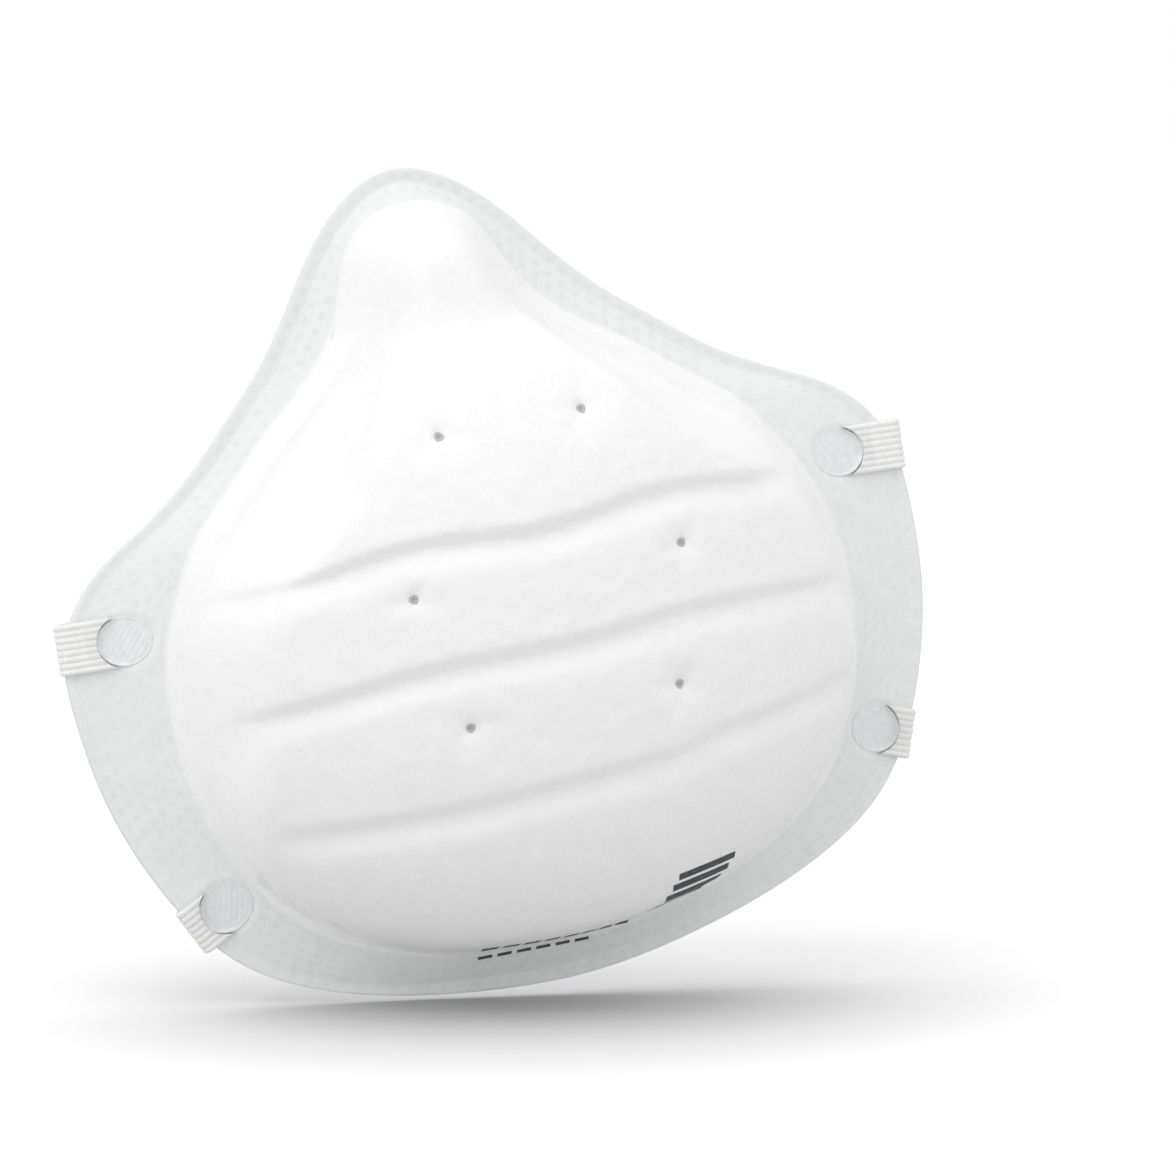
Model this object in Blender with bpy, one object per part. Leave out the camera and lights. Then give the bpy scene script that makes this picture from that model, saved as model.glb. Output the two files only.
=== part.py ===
"""Disposable moulded-cup dust mask.

Millimetres in the constants and the geometry code, metres in the scene. +X is
the viewer's right when facing the front of the mask, +Y points back to the
wearer's face, +Z points up to the nose. The origin is the centre of the whole
mask's box: on the centre line, at the middle of the rim's height, in the plane
of the foot of the cup.

The mask is a laminate of four moulded sheets (outer web, stiffener shell,
filter media, inner liner) that share one sealing flange. Six through welds
tack the loose inner sheets to the shell. Two elastic headbands are folded
round the edge of the flange and welded to its front.
"""
import math

import bpy
import bmesh
import numpy as np
from mathutils import Matrix, Vector
from mathutils.bvhtree import BVHTree

for old in list(bpy.data.objects):
    bpy.data.objects.remove(old, do_unlink=True)

MM = 0.001
SMOOTH_ANGLE = math.radians(40)      # edges sharper than this stay sharp
SIDES = (("left", -1), ("right", 1))

# ---------------------------------------------------------------- dimensions
# Stations of the right half of the outline, from the chin up to the nose:
# (cut edge x, cut edge z, cup foot x, cup foot z).
STATIONS = [
    (0.0, -68.3, 0.0, -61.8),      # chin, on the centre line
    (20.5, -66.2, 16.0, -60.3),
    (42.0, -60.3, 31.5, -56.2),    # jaw corner
    (56.0, -52.0, 44.0, -49.0),
    (66.5, -36.0, 53.3, -35.5),    # lower strap
    (71.5, -20.0, 57.6, -21.5),
    (72.9, -6.0, 57.9, -8.5),      # widest point of the cheek
    (71.8, 5.5, 55.6, 2.5),        # upper strap
    (66.2, 14.1, 51.5, 10.8),      # temple corner
    (54.5, 21.5, 46.0, 18.5),
    (45.0, 27.7, 39.0, 24.6),
    (37.3, 34.4, 31.5, 31.2),      # hollow under the eye
    (29.7, 41.4, 23.0, 37.8),
    (22.1, 50.6, 15.6, 46.6),      # side of the nose
    (12.7, 62.0, 10.2, 57.6),
    (0.0, 68.3, 0.0, 62.2),        # nose, on the centre line
]

FLANGE_SHEET = 0.30       # each sheet, pressed flat in the flange
FLANGE_GAP = 0.15         # between two sheets in the flange
FLANGE_STACK = 4 * FLANGE_SHEET + 3 * FLANGE_GAP
RIM_BACK_Y = 5.0          # back of the flat land along the cut edge
RIM_FRONT_Y = RIM_BACK_Y - FLANGE_STACK
RIM_LAND_W = 2.4          # width of the land, measured from the cut edge

# dome of the cup
DOME_DEPTH = 43.5         # in front of the foot
DOME_HALF_W, DOME_SIDE_POWER = 61.0, 1.9
DOME_Z = -6.0
DOME_UP, DOME_UP_POWER = 52.0, 2.4
DOME_DOWN, DOME_DOWN_POWER = 57.0, 2.2

# ridge of the nose
NOSE_Z0, NOSE_Y0, NOSE_FALL = 58.0, 17.5, 0.32
NOSE_HALF_W, NOSE_WIDENING = 15.0, 0.12      # at NOSE_Z0, and per mm below it
NOSE_FADE_Z = (5.0, 30.0)                    # the ridge grows in between these

# wall of the cup
WALL_SLOPE = 3.0          # rise over run
WALL_FILLET = 1.1         # the wall's rounded start at the foot
FLANK_SLOPE, FLANK_SLOPE_NOSE = 3.3, 6.5     # the wall inside the shoulder
FLANK_SLOPE_X = (12.0, 28.0)                 # nose slope gives way to flank slope
FLANK_X, FLANK_Z = (15.0, 20.0), (9.0, 20.0)  # where the foot turns into a flank
SHOULDER_H = 5.0          # the step beside the upper flange
SHOULDER_W = 5.2
SHOULDER_RISE_W = 2.6     # run of the step's riser
SHOULDER_TILT = 0.3       # rise over run of the step's tread
SHOULDER_DIP, SHOULDER_DIP_W = 0.5, 2.0      # hollow at the inner end of the tread

# blend radii: ridge with dome, wall with top, tread with flank wall
NOSE_BLEND, WALL_BLEND, SHOULDER_BLEND = 1.8, 2.2, 0.8

# Sheets in the cup, from the front: outer web, stiffener, filter, liner.
# Thickness is measured square to the surface.
SHEET_THICKNESS = (0.5, 0.8, 0.8, 0.4)
SHEET_GAP = 0.15
LOOSE_GAP = 1.9           # extra gap between the shell and the filter
THICKEN_DEPTH = (0.0, 3.0)    # distance in from the foot where sheets swell
LOOSEN_DEPTH = (2.0, 10.0)    # distance in from the foot where the gap opens
MAX_STRETCH = 2.6         # limit on thickness along Y over square thickness

# stiffening grooves: (centre z, droop towards the middle, half length)
GROOVES = [(6.8, 0.0, 49.0), (-13.6, -1.2, 52.0), (-31.8, 2.6, 50.0)]
GROOVE_DEPTH, GROOVE_HALF = 1.5, 2.1
GROOVE_SPREAD = 0.62 * GROOVE_HALF
GROOVE_FADE = 7.0         # run-out at each end

# sheet mesh
ROW_PITCH, COLUMNS = 10.0, 12
ROW_CLEARANCE = 2.4       # least arc distance from an even row to a groove row
ROW_END_Z = 62.0          # rows are straight again at this height, up and down
COLUMN_COSINE = 0.72      # share of cosine spacing, the rest is even

# tack welds, right-hand side: (x, z)
TACKS = {"upper": (11.8, 24.2), "middle": (22.3, 0.0), "lower": (17.4, -22.0)}
TACK_R, TACK_HOLE_R, TACK_SIDES = 1.1, 1.4, 10
CUTTER_OVERRUN = 4.0

# headbands: (level, weld (x, z), direction in degrees, y of the crown)
BANDS = [
    ("upper", (62.3, 4.5), 0.0, 42.87),
    ("lower", (57.0, -41.8), -23.3, 38.0),
]
BAND_W, BAND_T, BAND_GAP = 8.4, 1.0, 0.3
BAND_START = 2.2          # from the weld's centre to the cut end of the band
LAND_SETBACK = 0.6        # the sloping run stops this far short of the land
REACH_MARGIN = 0.2        # added to the half width when finding the rim
FOLD_TUCK = 0.35          # the fold's hub sits closer to the edge by this
FOLD_LEAD = 1.0           # straight run before the fold
FOLD_SQUASH = 0.72        # outward radius of the fold over its radius along Y
FOLD_ANGLES = (-90, -67, -45, -22, 0, 12)
FREE_HEADING = (-0.34, 0.94)      # start of the free band: along, Y
START_PULL, CROWN_PULL = 0.78, 0.58          # handle lengths of the free curve
CURVE_STEPS = 400
END_Y = 11.5              # the welded end stops here, the free band starts
CROWN_X = 40.0            # half length of the middle part of a band
END_STEPS, ARM_STEPS, CROWN_STEPS = 3, 7, 5
WIDTH_TURN = 0.8          # share of the way in x by which the band stands upright

# oval band welds
WELD_LONG, WELD_WIDE, WELD_CLEAR = 4.6, 4.1, 0.25    # half axes, hole clearance
WELD_SIDES = 20
WELD_PROFILE = [(0.96, -1.6), (1.0, -1.4), (1.0, 0.10), (0.93, 0.30)]  # radius, height
WELD_CUT_PROFILE = [(1.0, -4.0), (1.0, 3.2)]
PROBE_LONG, PROBE_WIDE = 4.2, 3.8            # where the flange's tilt is read


# ---------------------------------------------------------------- materials
def material(name, colour, roughness):
    made = bpy.data.materials.new(name)
    made.use_nodes = True
    bsdf = made.node_tree.nodes["Principled BSDF"]
    bsdf.inputs["Base Color"].default_value = (*colour, 1.0)
    bsdf.inputs["Roughness"].default_value = roughness
    return made


WHITE_WEB = material("white_spunbond_web", colour=(0.90, 0.90, 0.89), roughness=0.85)
WHITE_SHELL = material("white_moulded_shell", colour=(0.86, 0.86, 0.85), roughness=0.8)
WHITE_MEDIA = material("white_filter_felt", colour=(0.88, 0.88, 0.87), roughness=0.95)
WHITE_LINER = material("white_liner_web", colour=(0.92, 0.92, 0.92), roughness=0.9)
FUSED = material("fused_polypropylene", colour=(0.80, 0.80, 0.79), roughness=0.4)
ELASTIC = material("white_elastic", colour=(0.93, 0.93, 0.91), roughness=0.7)


# ---------------------------------------------------------------- outline
def periodic_spline(knots, points, length):
    """Second derivatives of the closed cubic through the points."""
    count = len(knots)
    spans = np.diff(np.append(knots, knots[0] + length))
    matrix = np.zeros((count, count))
    right = np.zeros((count, points.shape[1]))
    for i in range(count):
        j, k = (i - 1) % count, (i + 1) % count
        matrix[i, j] += spans[j]
        matrix[i, i] += 2 * (spans[j] + spans[i])
        matrix[i, k] += spans[i]
        slope_in = (points[i] - points[j]) / spans[j]
        slope_out = (points[k] - points[i]) / spans[i]
        right[i] = 6 * (slope_out - slope_in)
    return np.linalg.solve(matrix, right)


RIGHT_HALF = np.array(STATIONS)
LEFT_HALF = RIGHT_HALF[-2:0:-1] * np.array([-1, 1, -1, 1])
RING = np.vstack([RIGHT_HALF, LEFT_HALF])
CHORDS = np.linalg.norm(np.diff(np.vstack([RING, RING[:1]])[:, :2], axis=0), axis=1)
KNOTS = np.concatenate([[0.0], np.cumsum(CHORDS)[:-1]])
LENGTH = float(CHORDS.sum())
HALF_LENGTH = float(KNOTS[len(RIGHT_HALF) - 1])
CURVATURE = periodic_spline(KNOTS, RING, LENGTH)


def outline(position):
    """(cut edge x, z, cup foot x, z) at a position along the outline."""
    position = position % LENGTH
    i = int(np.searchsorted(KNOTS, position, side="right")) - 1
    k = (i + 1) % len(KNOTS)
    end = LENGTH if k == 0 else KNOTS[k]
    span = end - KNOTS[i]
    a, b = (end - position) / span, (position - KNOTS[i]) / span
    bend = (a**3 - a) * CURVATURE[i] + (b**3 - b) * CURVATURE[k]
    return a * RING[i] + b * RING[k] + bend * span * span / 6


# ---------------------------------------------------------------- plan fields
# The plan is sampled on a 1 mm grid: how far each point lies inside the foot
# of the cup, and how much it belongs to the flanks beside the nose.
GRID_X, GRID_Z = np.arange(-66.0, 67.0), np.arange(-70.0, 71.0)
FOOT_POINTS = 360
DEPTH_SOFTENING, FLANK_SOFTENING = 2.0, 3.0


def smooth_step(low, high, value):
    value = np.clip((value - low) / (high - low), 0.0, 1.0)
    return value * value * (3 - 2 * value)


def soften(field, sigma):
    """Gaussian blur."""
    reach = int(3 * sigma) + 1
    kernel = np.exp(-0.5 * (np.arange(-reach, reach + 1) / sigma) ** 2)
    kernel /= kernel.sum()
    field = np.pad(field, reach, mode="reflect", reflect_type="odd")
    for axis in (0, 1):
        field = np.apply_along_axis(lambda line: np.convolve(line, kernel, "valid"), axis, field)
    return field


def plan_fields():
    positions = np.linspace(0, LENGTH, FOOT_POINTS, endpoint=False)
    foot = np.array([outline(position)[2:] for position in positions])
    grid_x, grid_z = np.meshgrid(GRID_X, GRID_Z, indexing="ij")
    points = np.stack([grid_x.ravel(), grid_z.ravel()], 1)
    distance = np.full(len(points), 1e9)
    nearest = np.zeros_like(points)
    inside = np.zeros(len(points), bool)
    for start, end in zip(foot, np.roll(foot, -1, axis=0)):
        edge = end - start
        share = np.clip(((points - start) @ edge) / (edge @ edge), 0, 1)
        on_edge = start + share[:, None] * edge
        away = np.hypot(*(points - on_edge).T)
        closer = away < distance
        distance[closer], nearest[closer] = away[closer], on_edge[closer]
        if start[1] != end[1]:
            # each edge crossed on the way to +X toggles inside and outside
            spans = (start[1] > points[:, 1]) != (end[1] > points[:, 1])
            cross_x = start[0] + (points[:, 1] - start[1]) / (end[1] - start[1]) * edge[0]
            inside ^= spans & (points[:, 0] < cross_x)
    depth = np.where(inside, distance, -distance)
    flank = smooth_step(*FLANK_X, np.abs(nearest[:, 0])) * smooth_step(*FLANK_Z, nearest[:, 1])
    return (
        soften(depth.reshape(grid_x.shape), DEPTH_SOFTENING),
        soften(flank.reshape(grid_x.shape), FLANK_SOFTENING),
    )


INSIDE, FLANK = plan_fields()


def cubic_weights(t):
    return (
        (-t + 2 * t**2 - t**3) / 2,
        (2 - 5 * t**2 + 3 * t**3) / 2,
        (t + 4 * t**2 - 3 * t**3) / 2,
        (-(t**2) + t**3) / 2,
    )


def sample(field, x, z):
    """Smooth (cubic) reading of a field between its grid points."""
    u = np.clip(np.asarray(x, float) - GRID_X[0], 1.0, len(GRID_X) - 2.001)
    v = np.clip(np.asarray(z, float) - GRID_Z[0], 1.0, len(GRID_Z) - 2.001)
    i, j = u.astype(int), v.astype(int)
    weights_x, weights_z = cubic_weights(u - i), cubic_weights(v - j)
    total = 0.0
    for a in range(4):
        for b in range(4):
            total = total + weights_x[a] * weights_z[b] * field[i + a - 1, j + b - 1]
    return total


def depth_inside(x, z):
    """Distance in from the foot of the cup, zero outside it."""
    return np.maximum(sample(INSIDE, x, z), 0.0)


# ---------------------------------------------------------------- cup shape
def soft_max(a, b, radius):
    return radius * np.logaddexp(a / radius, b / radius)


def soft_min(a, b, radius):
    return -soft_max(-a, -b, radius)


def dome_height(x, z):
    up = z - DOME_Z
    if up > 0:
        rise = (up / DOME_UP) ** DOME_UP_POWER
    else:
        rise = (-up / DOME_DOWN) ** DOME_DOWN_POWER
    side = np.abs(x / DOME_HALF_W) ** DOME_SIDE_POWER
    return DOME_DEPTH * np.sqrt(np.maximum(1 - side - rise, 1e-4))


def nose_height(x, z):
    half_w = NOSE_HALF_W + NOSE_WIDENING * np.maximum(NOSE_Z0 - z, 0.0)
    across = np.maximum(1 - np.minimum(np.abs(x) / half_w, 1.0) ** 3, 0.0) ** 0.8
    return (NOSE_Y0 + (NOSE_Z0 - z) * NOSE_FALL) * across * smooth_step(*NOSE_FADE_Z, z)


def wall_height(x, z):
    depth = depth_inside(x, z)
    steep = WALL_SLOPE * depth * depth / (depth + WALL_FILLET)
    nose_share = 1 - smooth_step(*FLANK_SLOPE_X, np.abs(x))
    slope = FLANK_SLOPE + (FLANK_SLOPE_NOSE - FLANK_SLOPE) * nose_share
    past = depth - SHOULDER_W
    flank = (
        SHOULDER_H * smooth_step(0.0, SHOULDER_RISE_W, depth)
        + SHOULDER_TILT * depth
        - SHOULDER_DIP * np.exp(-((past / SHOULDER_DIP_W) ** 2))
        + slope * soft_max(past, 0.0, SHOULDER_BLEND)
    )
    return steep + (flank - steep) * np.clip(sample(FLANK, x, z), 0, 1)


def cup_height(x, z):
    """How far the outside of the cup stands in front of its foot."""
    top = soft_max(dome_height(x, z), nose_height(x, z), NOSE_BLEND)
    return np.maximum(soft_min(top, wall_height(x, z), WALL_BLEND), 0.0)


def groove_depth(x, z):
    depth = 0.0
    for centre, droop, half_length in GROOVES:
        line = centre - droop * (1 - np.minimum(np.abs(x) / half_length, 1.0) ** 2)
        fade = 1 - smooth_step(half_length - GROOVE_FADE, half_length, np.abs(x))
        depth = depth + GROOVE_DEPTH * fade * np.exp(-(((z - line) / GROOVE_SPREAD) ** 2))
    return depth


def stretch_along_y(x, z):
    """Thickness along Y over thickness square to the sloping surface."""
    e = 0.5
    slope_x = (cup_height(x + e, z) - cup_height(x - e, z)) / (2 * e)
    slope_z = (cup_height(x, z + e) - cup_height(x, z - e)) / (2 * e)
    return np.minimum(np.sqrt(1 + slope_x * slope_x + slope_z * slope_z), MAX_STRETCH)


def stack_faces(front, thicknesses, gaps):
    """y of the eight faces of the four sheets, front to back."""
    faces = []
    for thickness, gap in zip(thicknesses, (*gaps, 0.0)):
        faces += [float(front), float(front + thickness)]
        front = front + thickness + gap
    return faces


def cup_faces(x, z):
    depth = depth_inside(x, z)
    inside = smooth_step(*THICKEN_DEPTH, depth)
    stretch = 1 + (stretch_along_y(x, z) - 1) * inside
    thicknesses = [
        (FLANGE_SHEET + (full - FLANGE_SHEET) * inside) * stretch for full in SHEET_THICKNESS
    ]
    gap = FLANGE_GAP + (SHEET_GAP - FLANGE_GAP) * inside
    groove = groove_depth(x, z)
    # the filter and liner do not follow the grooves
    loose = gap + LOOSE_GAP * smooth_step(*LOOSEN_DEPTH, depth) - groove
    return stack_faces(-cup_height(x, z) + groove, thicknesses, (gap, loose, gap))


def flange_faces(front):
    return stack_faces(front, [FLANGE_SHEET] * 4, [FLANGE_GAP] * 3)


# ---------------------------------------------------------------- sheet grid
def position_of_height(z):
    """Position on the right half of the outline where the foot is at z."""
    low, high = 0.0, HALF_LENGTH
    for _ in range(50):
        middle = (low + high) / 2
        if outline(middle)[3] < z:
            low = middle
        else:
            high = middle
    return (low + high) / 2


def row_positions():
    """Each groove has a row in its valley and one at each shoulder; other
    rows are evenly spread from chin to nose, closer near the nose."""
    fixed = [
        position_of_height(centre + offset)
        for centre, _, _ in GROOVES
        for offset in (-GROOVE_HALF, 0.0, GROOVE_HALF)
    ]
    count = round(HALF_LENGTH / ROW_PITCH)
    spread = [HALF_LENGTH * i / count for i in range(1, count)]
    spread += [HALF_LENGTH * (i + 0.5) / count for i in range(count - 3, count)]
    clear = [s for s in spread if min(abs(s - f) for f in fixed) > ROW_CLEARANCE]
    return sorted(fixed + clear)


def row_droop(z):
    """Rows sag with the grooves they carry."""
    upward = GROOVES[::-1]
    heights = [-ROW_END_Z] + [centre for centre, _, _ in upward] + [ROW_END_Z]
    droops = [0.0] + [droop for _, droop, _ in upward] + [0.0]
    return float(np.interp(z, heights, droops))


def build_grid():
    """Grid shared by the sheets: (x, z) points, their face y values,
    triangles, and the ring of points on the cut edge."""
    points, faces, triangles = [], [], []

    def put(x, z, ys):
        points.append((x, z))
        faces.append(ys)
        return len(points) - 1

    def quad(a, b, c, d):
        """Corners anticlockwise seen from the front, split on the short diagonal."""
        if math.dist(points[a], points[c]) <= math.dist(points[b], points[d]):
            triangles.extend([(a, b, c), (a, c, d)])
        else:
            triangles.extend([(a, b, d), (b, c, d)])

    # rings round the outline: up the right side, then down the left
    positions = row_positions()
    stops = [(0.0, 1)] + [(s, 1) for s in positions] + [(HALF_LENGTH, 1)]
    stops += [(s, -1) for s in reversed(positions)]
    edge_ring, land_ring, foot_ring = [], [], []
    for position, side in stops:
        edge_x, edge_z, foot_x, foot_z = outline(position)
        edge_x, foot_x = edge_x * side, foot_x * side
        share = 1 - RIM_LAND_W / math.hypot(edge_x - foot_x, edge_z - foot_z)
        land_x = foot_x + (edge_x - foot_x) * share
        land_z = foot_z + (edge_z - foot_z) * share
        edge_ring.append(put(edge_x, edge_z, flange_faces(RIM_FRONT_Y)))
        land_ring.append(put(land_x, land_z, flange_faces(RIM_FRONT_Y)))
        foot_ring.append(put(foot_x, foot_z, flange_faces(0.0)))

    # rows across the cup
    rows = []
    for i in range(len(positions)):
        right, left = foot_ring[1 + i], foot_ring[len(stops) - 1 - i]
        foot_x, foot_z = points[right]
        row = [left]
        for column in range(1, COLUMNS):
            u = -math.cos(math.pi * column / COLUMNS)
            u = COLUMN_COSINE * u + (1 - COLUMN_COSINE) * (2 * column / COLUMNS - 1)
            x = foot_x * u
            z = foot_z - row_droop(foot_z) * (1 - u * u)
            row.append(put(x, z, cup_faces(x, z)))
        row.append(right)
        rows.append(row)

    for lower, upper in zip(rows, rows[1:]):
        for c in range(COLUMNS):
            quad(lower[c], lower[c + 1], upper[c + 1], upper[c])
    chin, nose = foot_ring[0], foot_ring[len(positions) + 1]
    for c in range(COLUMNS):
        triangles.append((chin, rows[0][c + 1], rows[0][c]))
        triangles.append((nose, rows[-1][c], rows[-1][c + 1]))
    for i in range(len(stops)):
        k = (i + 1) % len(stops)
        quad(foot_ring[i], land_ring[i], land_ring[k], foot_ring[k])
        quad(land_ring[i], edge_ring[i], edge_ring[k], land_ring[k])
    return points, faces, triangles, edge_ring


# ---------------------------------------------------------------- solids
def solid(name, bm, mat):
    """Object from a closed bmesh, with its faces turned outwards."""
    bmesh.ops.recalc_face_normals(bm, faces=bm.faces)
    if bm.calc_volume(signed=True) < 0:
        bmesh.ops.reverse_faces(bm, faces=bm.faces)
    mesh = bpy.data.meshes.new(name)
    bm.normal_update()
    bm.to_mesh(mesh)
    bm.free()
    mesh.shade_smooth()
    mesh.set_sharp_from_angle(angle=SMOOTH_ANGLE)
    mesh.materials.append(mat)
    ob = bpy.data.objects.new(name, mesh)
    bpy.context.scene.collection.objects.link(ob)
    return ob


def turned(name, profile, matrix, sides, stretch=(1.0, 1.0), mat=FUSED):
    """A solid turned round its own +Z from (radius, height) pairs."""
    bm = bmesh.new()
    angles = [2 * math.pi * i / sides for i in range(sides)]
    rings = [
        [
            bm.verts.new((
                radius * stretch[0] * math.cos(angle) * MM,
                radius * stretch[1] * math.sin(angle) * MM,
                height * MM,
            ))
            for angle in angles
        ]
        for radius, height in profile
    ]
    bm.faces.new(list(reversed(rings[0])))
    bm.faces.new(rings[-1])
    for low, high in zip(rings, rings[1:]):
        for i in range(sides):
            j = (i + 1) % sides
            bm.faces.new((low[i], low[j], high[j], high[i]))
    ob = solid(name, bm, mat)
    ob.matrix_world = matrix
    return ob


def cutter(name, profile, matrix, sides, stretch=(1.0, 1.0)):
    ob = turned(name, profile, matrix, sides, stretch)
    ob.hide_render = True
    ob.display_type = "WIRE"
    return ob


def cut(targets, tool):
    for target in targets:
        mod = target.modifiers.new("hole_" + tool.name, "BOOLEAN")
        mod.operation = "DIFFERENCE"
        mod.solver = "EXACT"
        mod.object = tool


def hit(ob, x, z, from_front):
    """y where a line along Y first meets an object."""
    tree = BVHTree.FromObject(ob, bpy.context.evaluated_depsgraph_get())
    start_y = -1.0 if from_front else 1.0
    at, _, _, _ = tree.ray_cast(Vector((x * MM, start_y, z * MM)), Vector((0, -start_y, 0)))
    return at.y / MM


# ---------------------------------------------------------------- sheets
def sheet(name, index, mat, grid):
    """One closed sheet; index 0 is the front one."""
    points, faces, triangles, edge = grid
    bm = bmesh.new()
    front, back = (
        [bm.verts.new((x * MM, ys[face] * MM, z * MM)) for (x, z), ys in zip(points, faces)]
        for face in (2 * index, 2 * index + 1)
    )
    for i, j, k in triangles:
        bm.faces.new((front[i], front[j], front[k]))
        bm.faces.new((back[k], back[j], back[i]))
    for a, b in zip(edge, edge[1:] + edge[:1]):
        bm.faces.new((front[b], front[a], back[a], back[b]))
    return solid(name, bm, mat)


GRID = build_grid()
SHEETS = [
    sheet("outer_cover_web", 0, WHITE_WEB, GRID),
    sheet("stiffener_shell", 1, WHITE_SHELL, GRID),
    sheet("filter_media", 2, WHITE_MEDIA, GRID),
    sheet("inner_liner", 3, WHITE_LINER, GRID),
]


# ---------------------------------------------------------------- tack welds
def tack_weld(suffix, x, z):
    """A short fused rivet through all four sheets, along Y."""
    low = -hit(SHEETS[3], x, z, from_front=False)
    high = -hit(SHEETS[0], x, z, from_front=True)
    z_to_front = Matrix.Rotation(math.radians(90), 4, "X")
    place = Matrix.Translation((x * MM, 0, z * MM)) @ z_to_front
    profile = [
        (TACK_R * 0.8, low - 0.35),
        (TACK_R, low - 0.1),
        (TACK_R, high - 0.2),
        (TACK_R * 0.75, high + 0.05),
    ]
    hole = [(TACK_HOLE_R, low - CUTTER_OVERRUN), (TACK_HOLE_R, high + CUTTER_OVERRUN)]
    turned(f"tack_weld_{suffix}", profile, place, TACK_SIDES)
    cut(SHEETS, cutter(f"tack_cutter_{suffix}", hole, place, TACK_SIDES))


for level, (tack_x, tack_z) in TACKS.items():
    for side_name, side in SIDES:
        tack_weld(f"{level}_{side_name}", side * tack_x, tack_z)


# ---------------------------------------------------------------- headbands
def flange_front(point):
    return hit(SHEETS[0], point.x, point.z, from_front=True)


def rim_reach(weld, angle):
    """How far the cut edge reaches from the weld within a band's width."""
    cos, sin = math.cos(angle), math.sin(angle)
    best = 0.0
    for position in np.linspace(0, HALF_LENGTH, 900):
        x, z = outline(position)[:2]
        along = (x - weld[0]) * cos + (z - weld[1]) * sin
        across = -(x - weld[0]) * sin + (z - weld[1]) * cos
        if abs(across) <= BAND_W / 2 + REACH_MARGIN and along > 0:
            best = max(best, along)
    return best


def folded_path(origin, along, wide, reach):
    """Centres from the cut end, over the flange and round its edge."""
    lift = BAND_GAP + BAND_T / 2
    run_end = reach - RIM_LAND_W - LAND_SETBACK
    path = []
    for share in (0.0, 0.5, 1.0):
        centre = origin + along * (BAND_START + (run_end - BAND_START) * share)
        front = min(flange_front(centre + wide * w) for w in (-BAND_W / 2, 0.0, BAND_W / 2))
        path.append(centre + Vector((0, front - lift, 0)))
    radius = FLANGE_STACK / 2 + lift
    middle_y = RIM_BACK_Y - FLANGE_STACK / 2
    hub = reach + BAND_GAP - FOLD_TUCK
    path.append(origin + along * (hub - FOLD_LEAD) + Vector((0, middle_y - radius, 0)))
    for angle in map(math.radians, FOLD_ANGLES):
        out = hub + radius * FOLD_SQUASH * math.cos(angle)
        path.append(origin + along * out + Vector((0, middle_y + radius * math.sin(angle), 0)))
    return path


def free_curve(start, along, crown):
    """Fine Bezier curve from the fold to the middle of the crown."""
    heading = (along * FREE_HEADING[0] + Vector((0, FREE_HEADING[1], 0))).normalized()
    p1 = start + heading * (crown.y - start.y) * START_PULL
    p2 = Vector((CROWN_PULL * start.x, crown.y, crown.z))
    curve = []
    for i in range(CURVE_STEPS + 1):
        t = i / CURVE_STEPS
        a = 1 - t
        curve.append(start * a**3 + p1 * 3 * a * a * t + p2 * 3 * a * t * t + crown * t**3)
    return curve


def crossing(curve, measure):
    """Index of the first point past where the measure changes sign, and that place."""
    for i in range(1, len(curve)):
        before, after = measure(curve[i - 1]), measure(curve[i])
        if before <= 0 <= after or after <= 0 <= before:
            share = abs(before) / max(abs(before) + abs(after), 1e-9)
            return i, curve[i - 1].lerp(curve[i], share)


def band_parts(origin, along, wide, reach, crown):
    """(centres, width directions) of the end, arm and half crown, right side."""
    folded = folded_path(origin, along, wide, reach)
    start = folded[-1]
    curve = free_curve(start, along, crown)
    lengths = [0.0]
    for a, b in zip(curve, curve[1:]):
        lengths.append(lengths[-1] + (b - a).length)

    def between(first, last, count):
        """Evenly spaced centres between two (index, point) places."""
        (i, first_point), (j, last_point) = first, last
        wanted = [lengths[i] + (lengths[j] - lengths[i]) * k / count for k in range(1, count)]
        inner = [curve[int(np.searchsorted(lengths, want))] for want in wanted]
        return [first_point, *inner, last_point]

    def width_at(point):
        share = 1 - min(max(point.x / start.x, 0.0), 1.0)
        return wide.lerp(Vector((0, 0, 1)), smooth_step(0.0, WIDTH_TURN, share)).normalized()

    def set_back(centres):
        """A free part, shortened at its start to leave a gap."""
        widths = [width_at(centre) for centre in centres]
        shift = (centres[1] - centres[0]).normalized() * BAND_GAP
        return [centres[0] + shift, *centres[1:]], widths

    end = crossing(curve, lambda point: point.y - END_Y)
    split = crossing(curve, lambda point: CROWN_X - point.x)
    tail = between((0, curve[0]), end, END_STEPS)[1:]
    end_part = (folded + tail, [wide] * len(folded) + [width_at(centre) for centre in tail])
    arm = set_back(between(end, split, ARM_STEPS))
    half_crown = set_back(between(split, (CURVE_STEPS, curve[-1]), CROWN_STEPS))
    return end_part, arm, half_crown


def ribbon(name, centres, widths):
    """A flat band of even section swept along a line of centres."""
    bm = bmesh.new()
    rings = []
    last = len(centres) - 1
    for i, centre in enumerate(centres):
        tangent = (centres[min(i + 1, last)] - centres[max(i - 1, 0)]).normalized()
        width = (widths[i] - tangent * widths[i].dot(tangent)).normalized()
        a, b = width * (BAND_W / 2), tangent.cross(width) * (BAND_T / 2)
        if 0 < i < last:
            # mitre the joint so the thickness holds through the bend
            before = (centre - centres[i - 1]).normalized()
            after = (centres[i + 1] - centre).normalized()
            b = b / max(math.cos(before.angle(after) / 2), 0.5)
        corners = (centre + a + b, centre - a + b, centre - a - b, centre + a - b)
        rings.append([bm.verts.new(corner * MM) for corner in corners])
    bm.faces.new(rings[0])
    bm.faces.new(list(reversed(rings[-1])))
    for low, high in zip(rings, rings[1:]):
        for i in range(4):
            j = (i + 1) % 4
            bm.faces.new((low[i], high[i], high[j], low[j]))
    bmesh.ops.triangulate(bm, faces=bm.faces)
    return solid(name, bm, ELASTIC)


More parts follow.
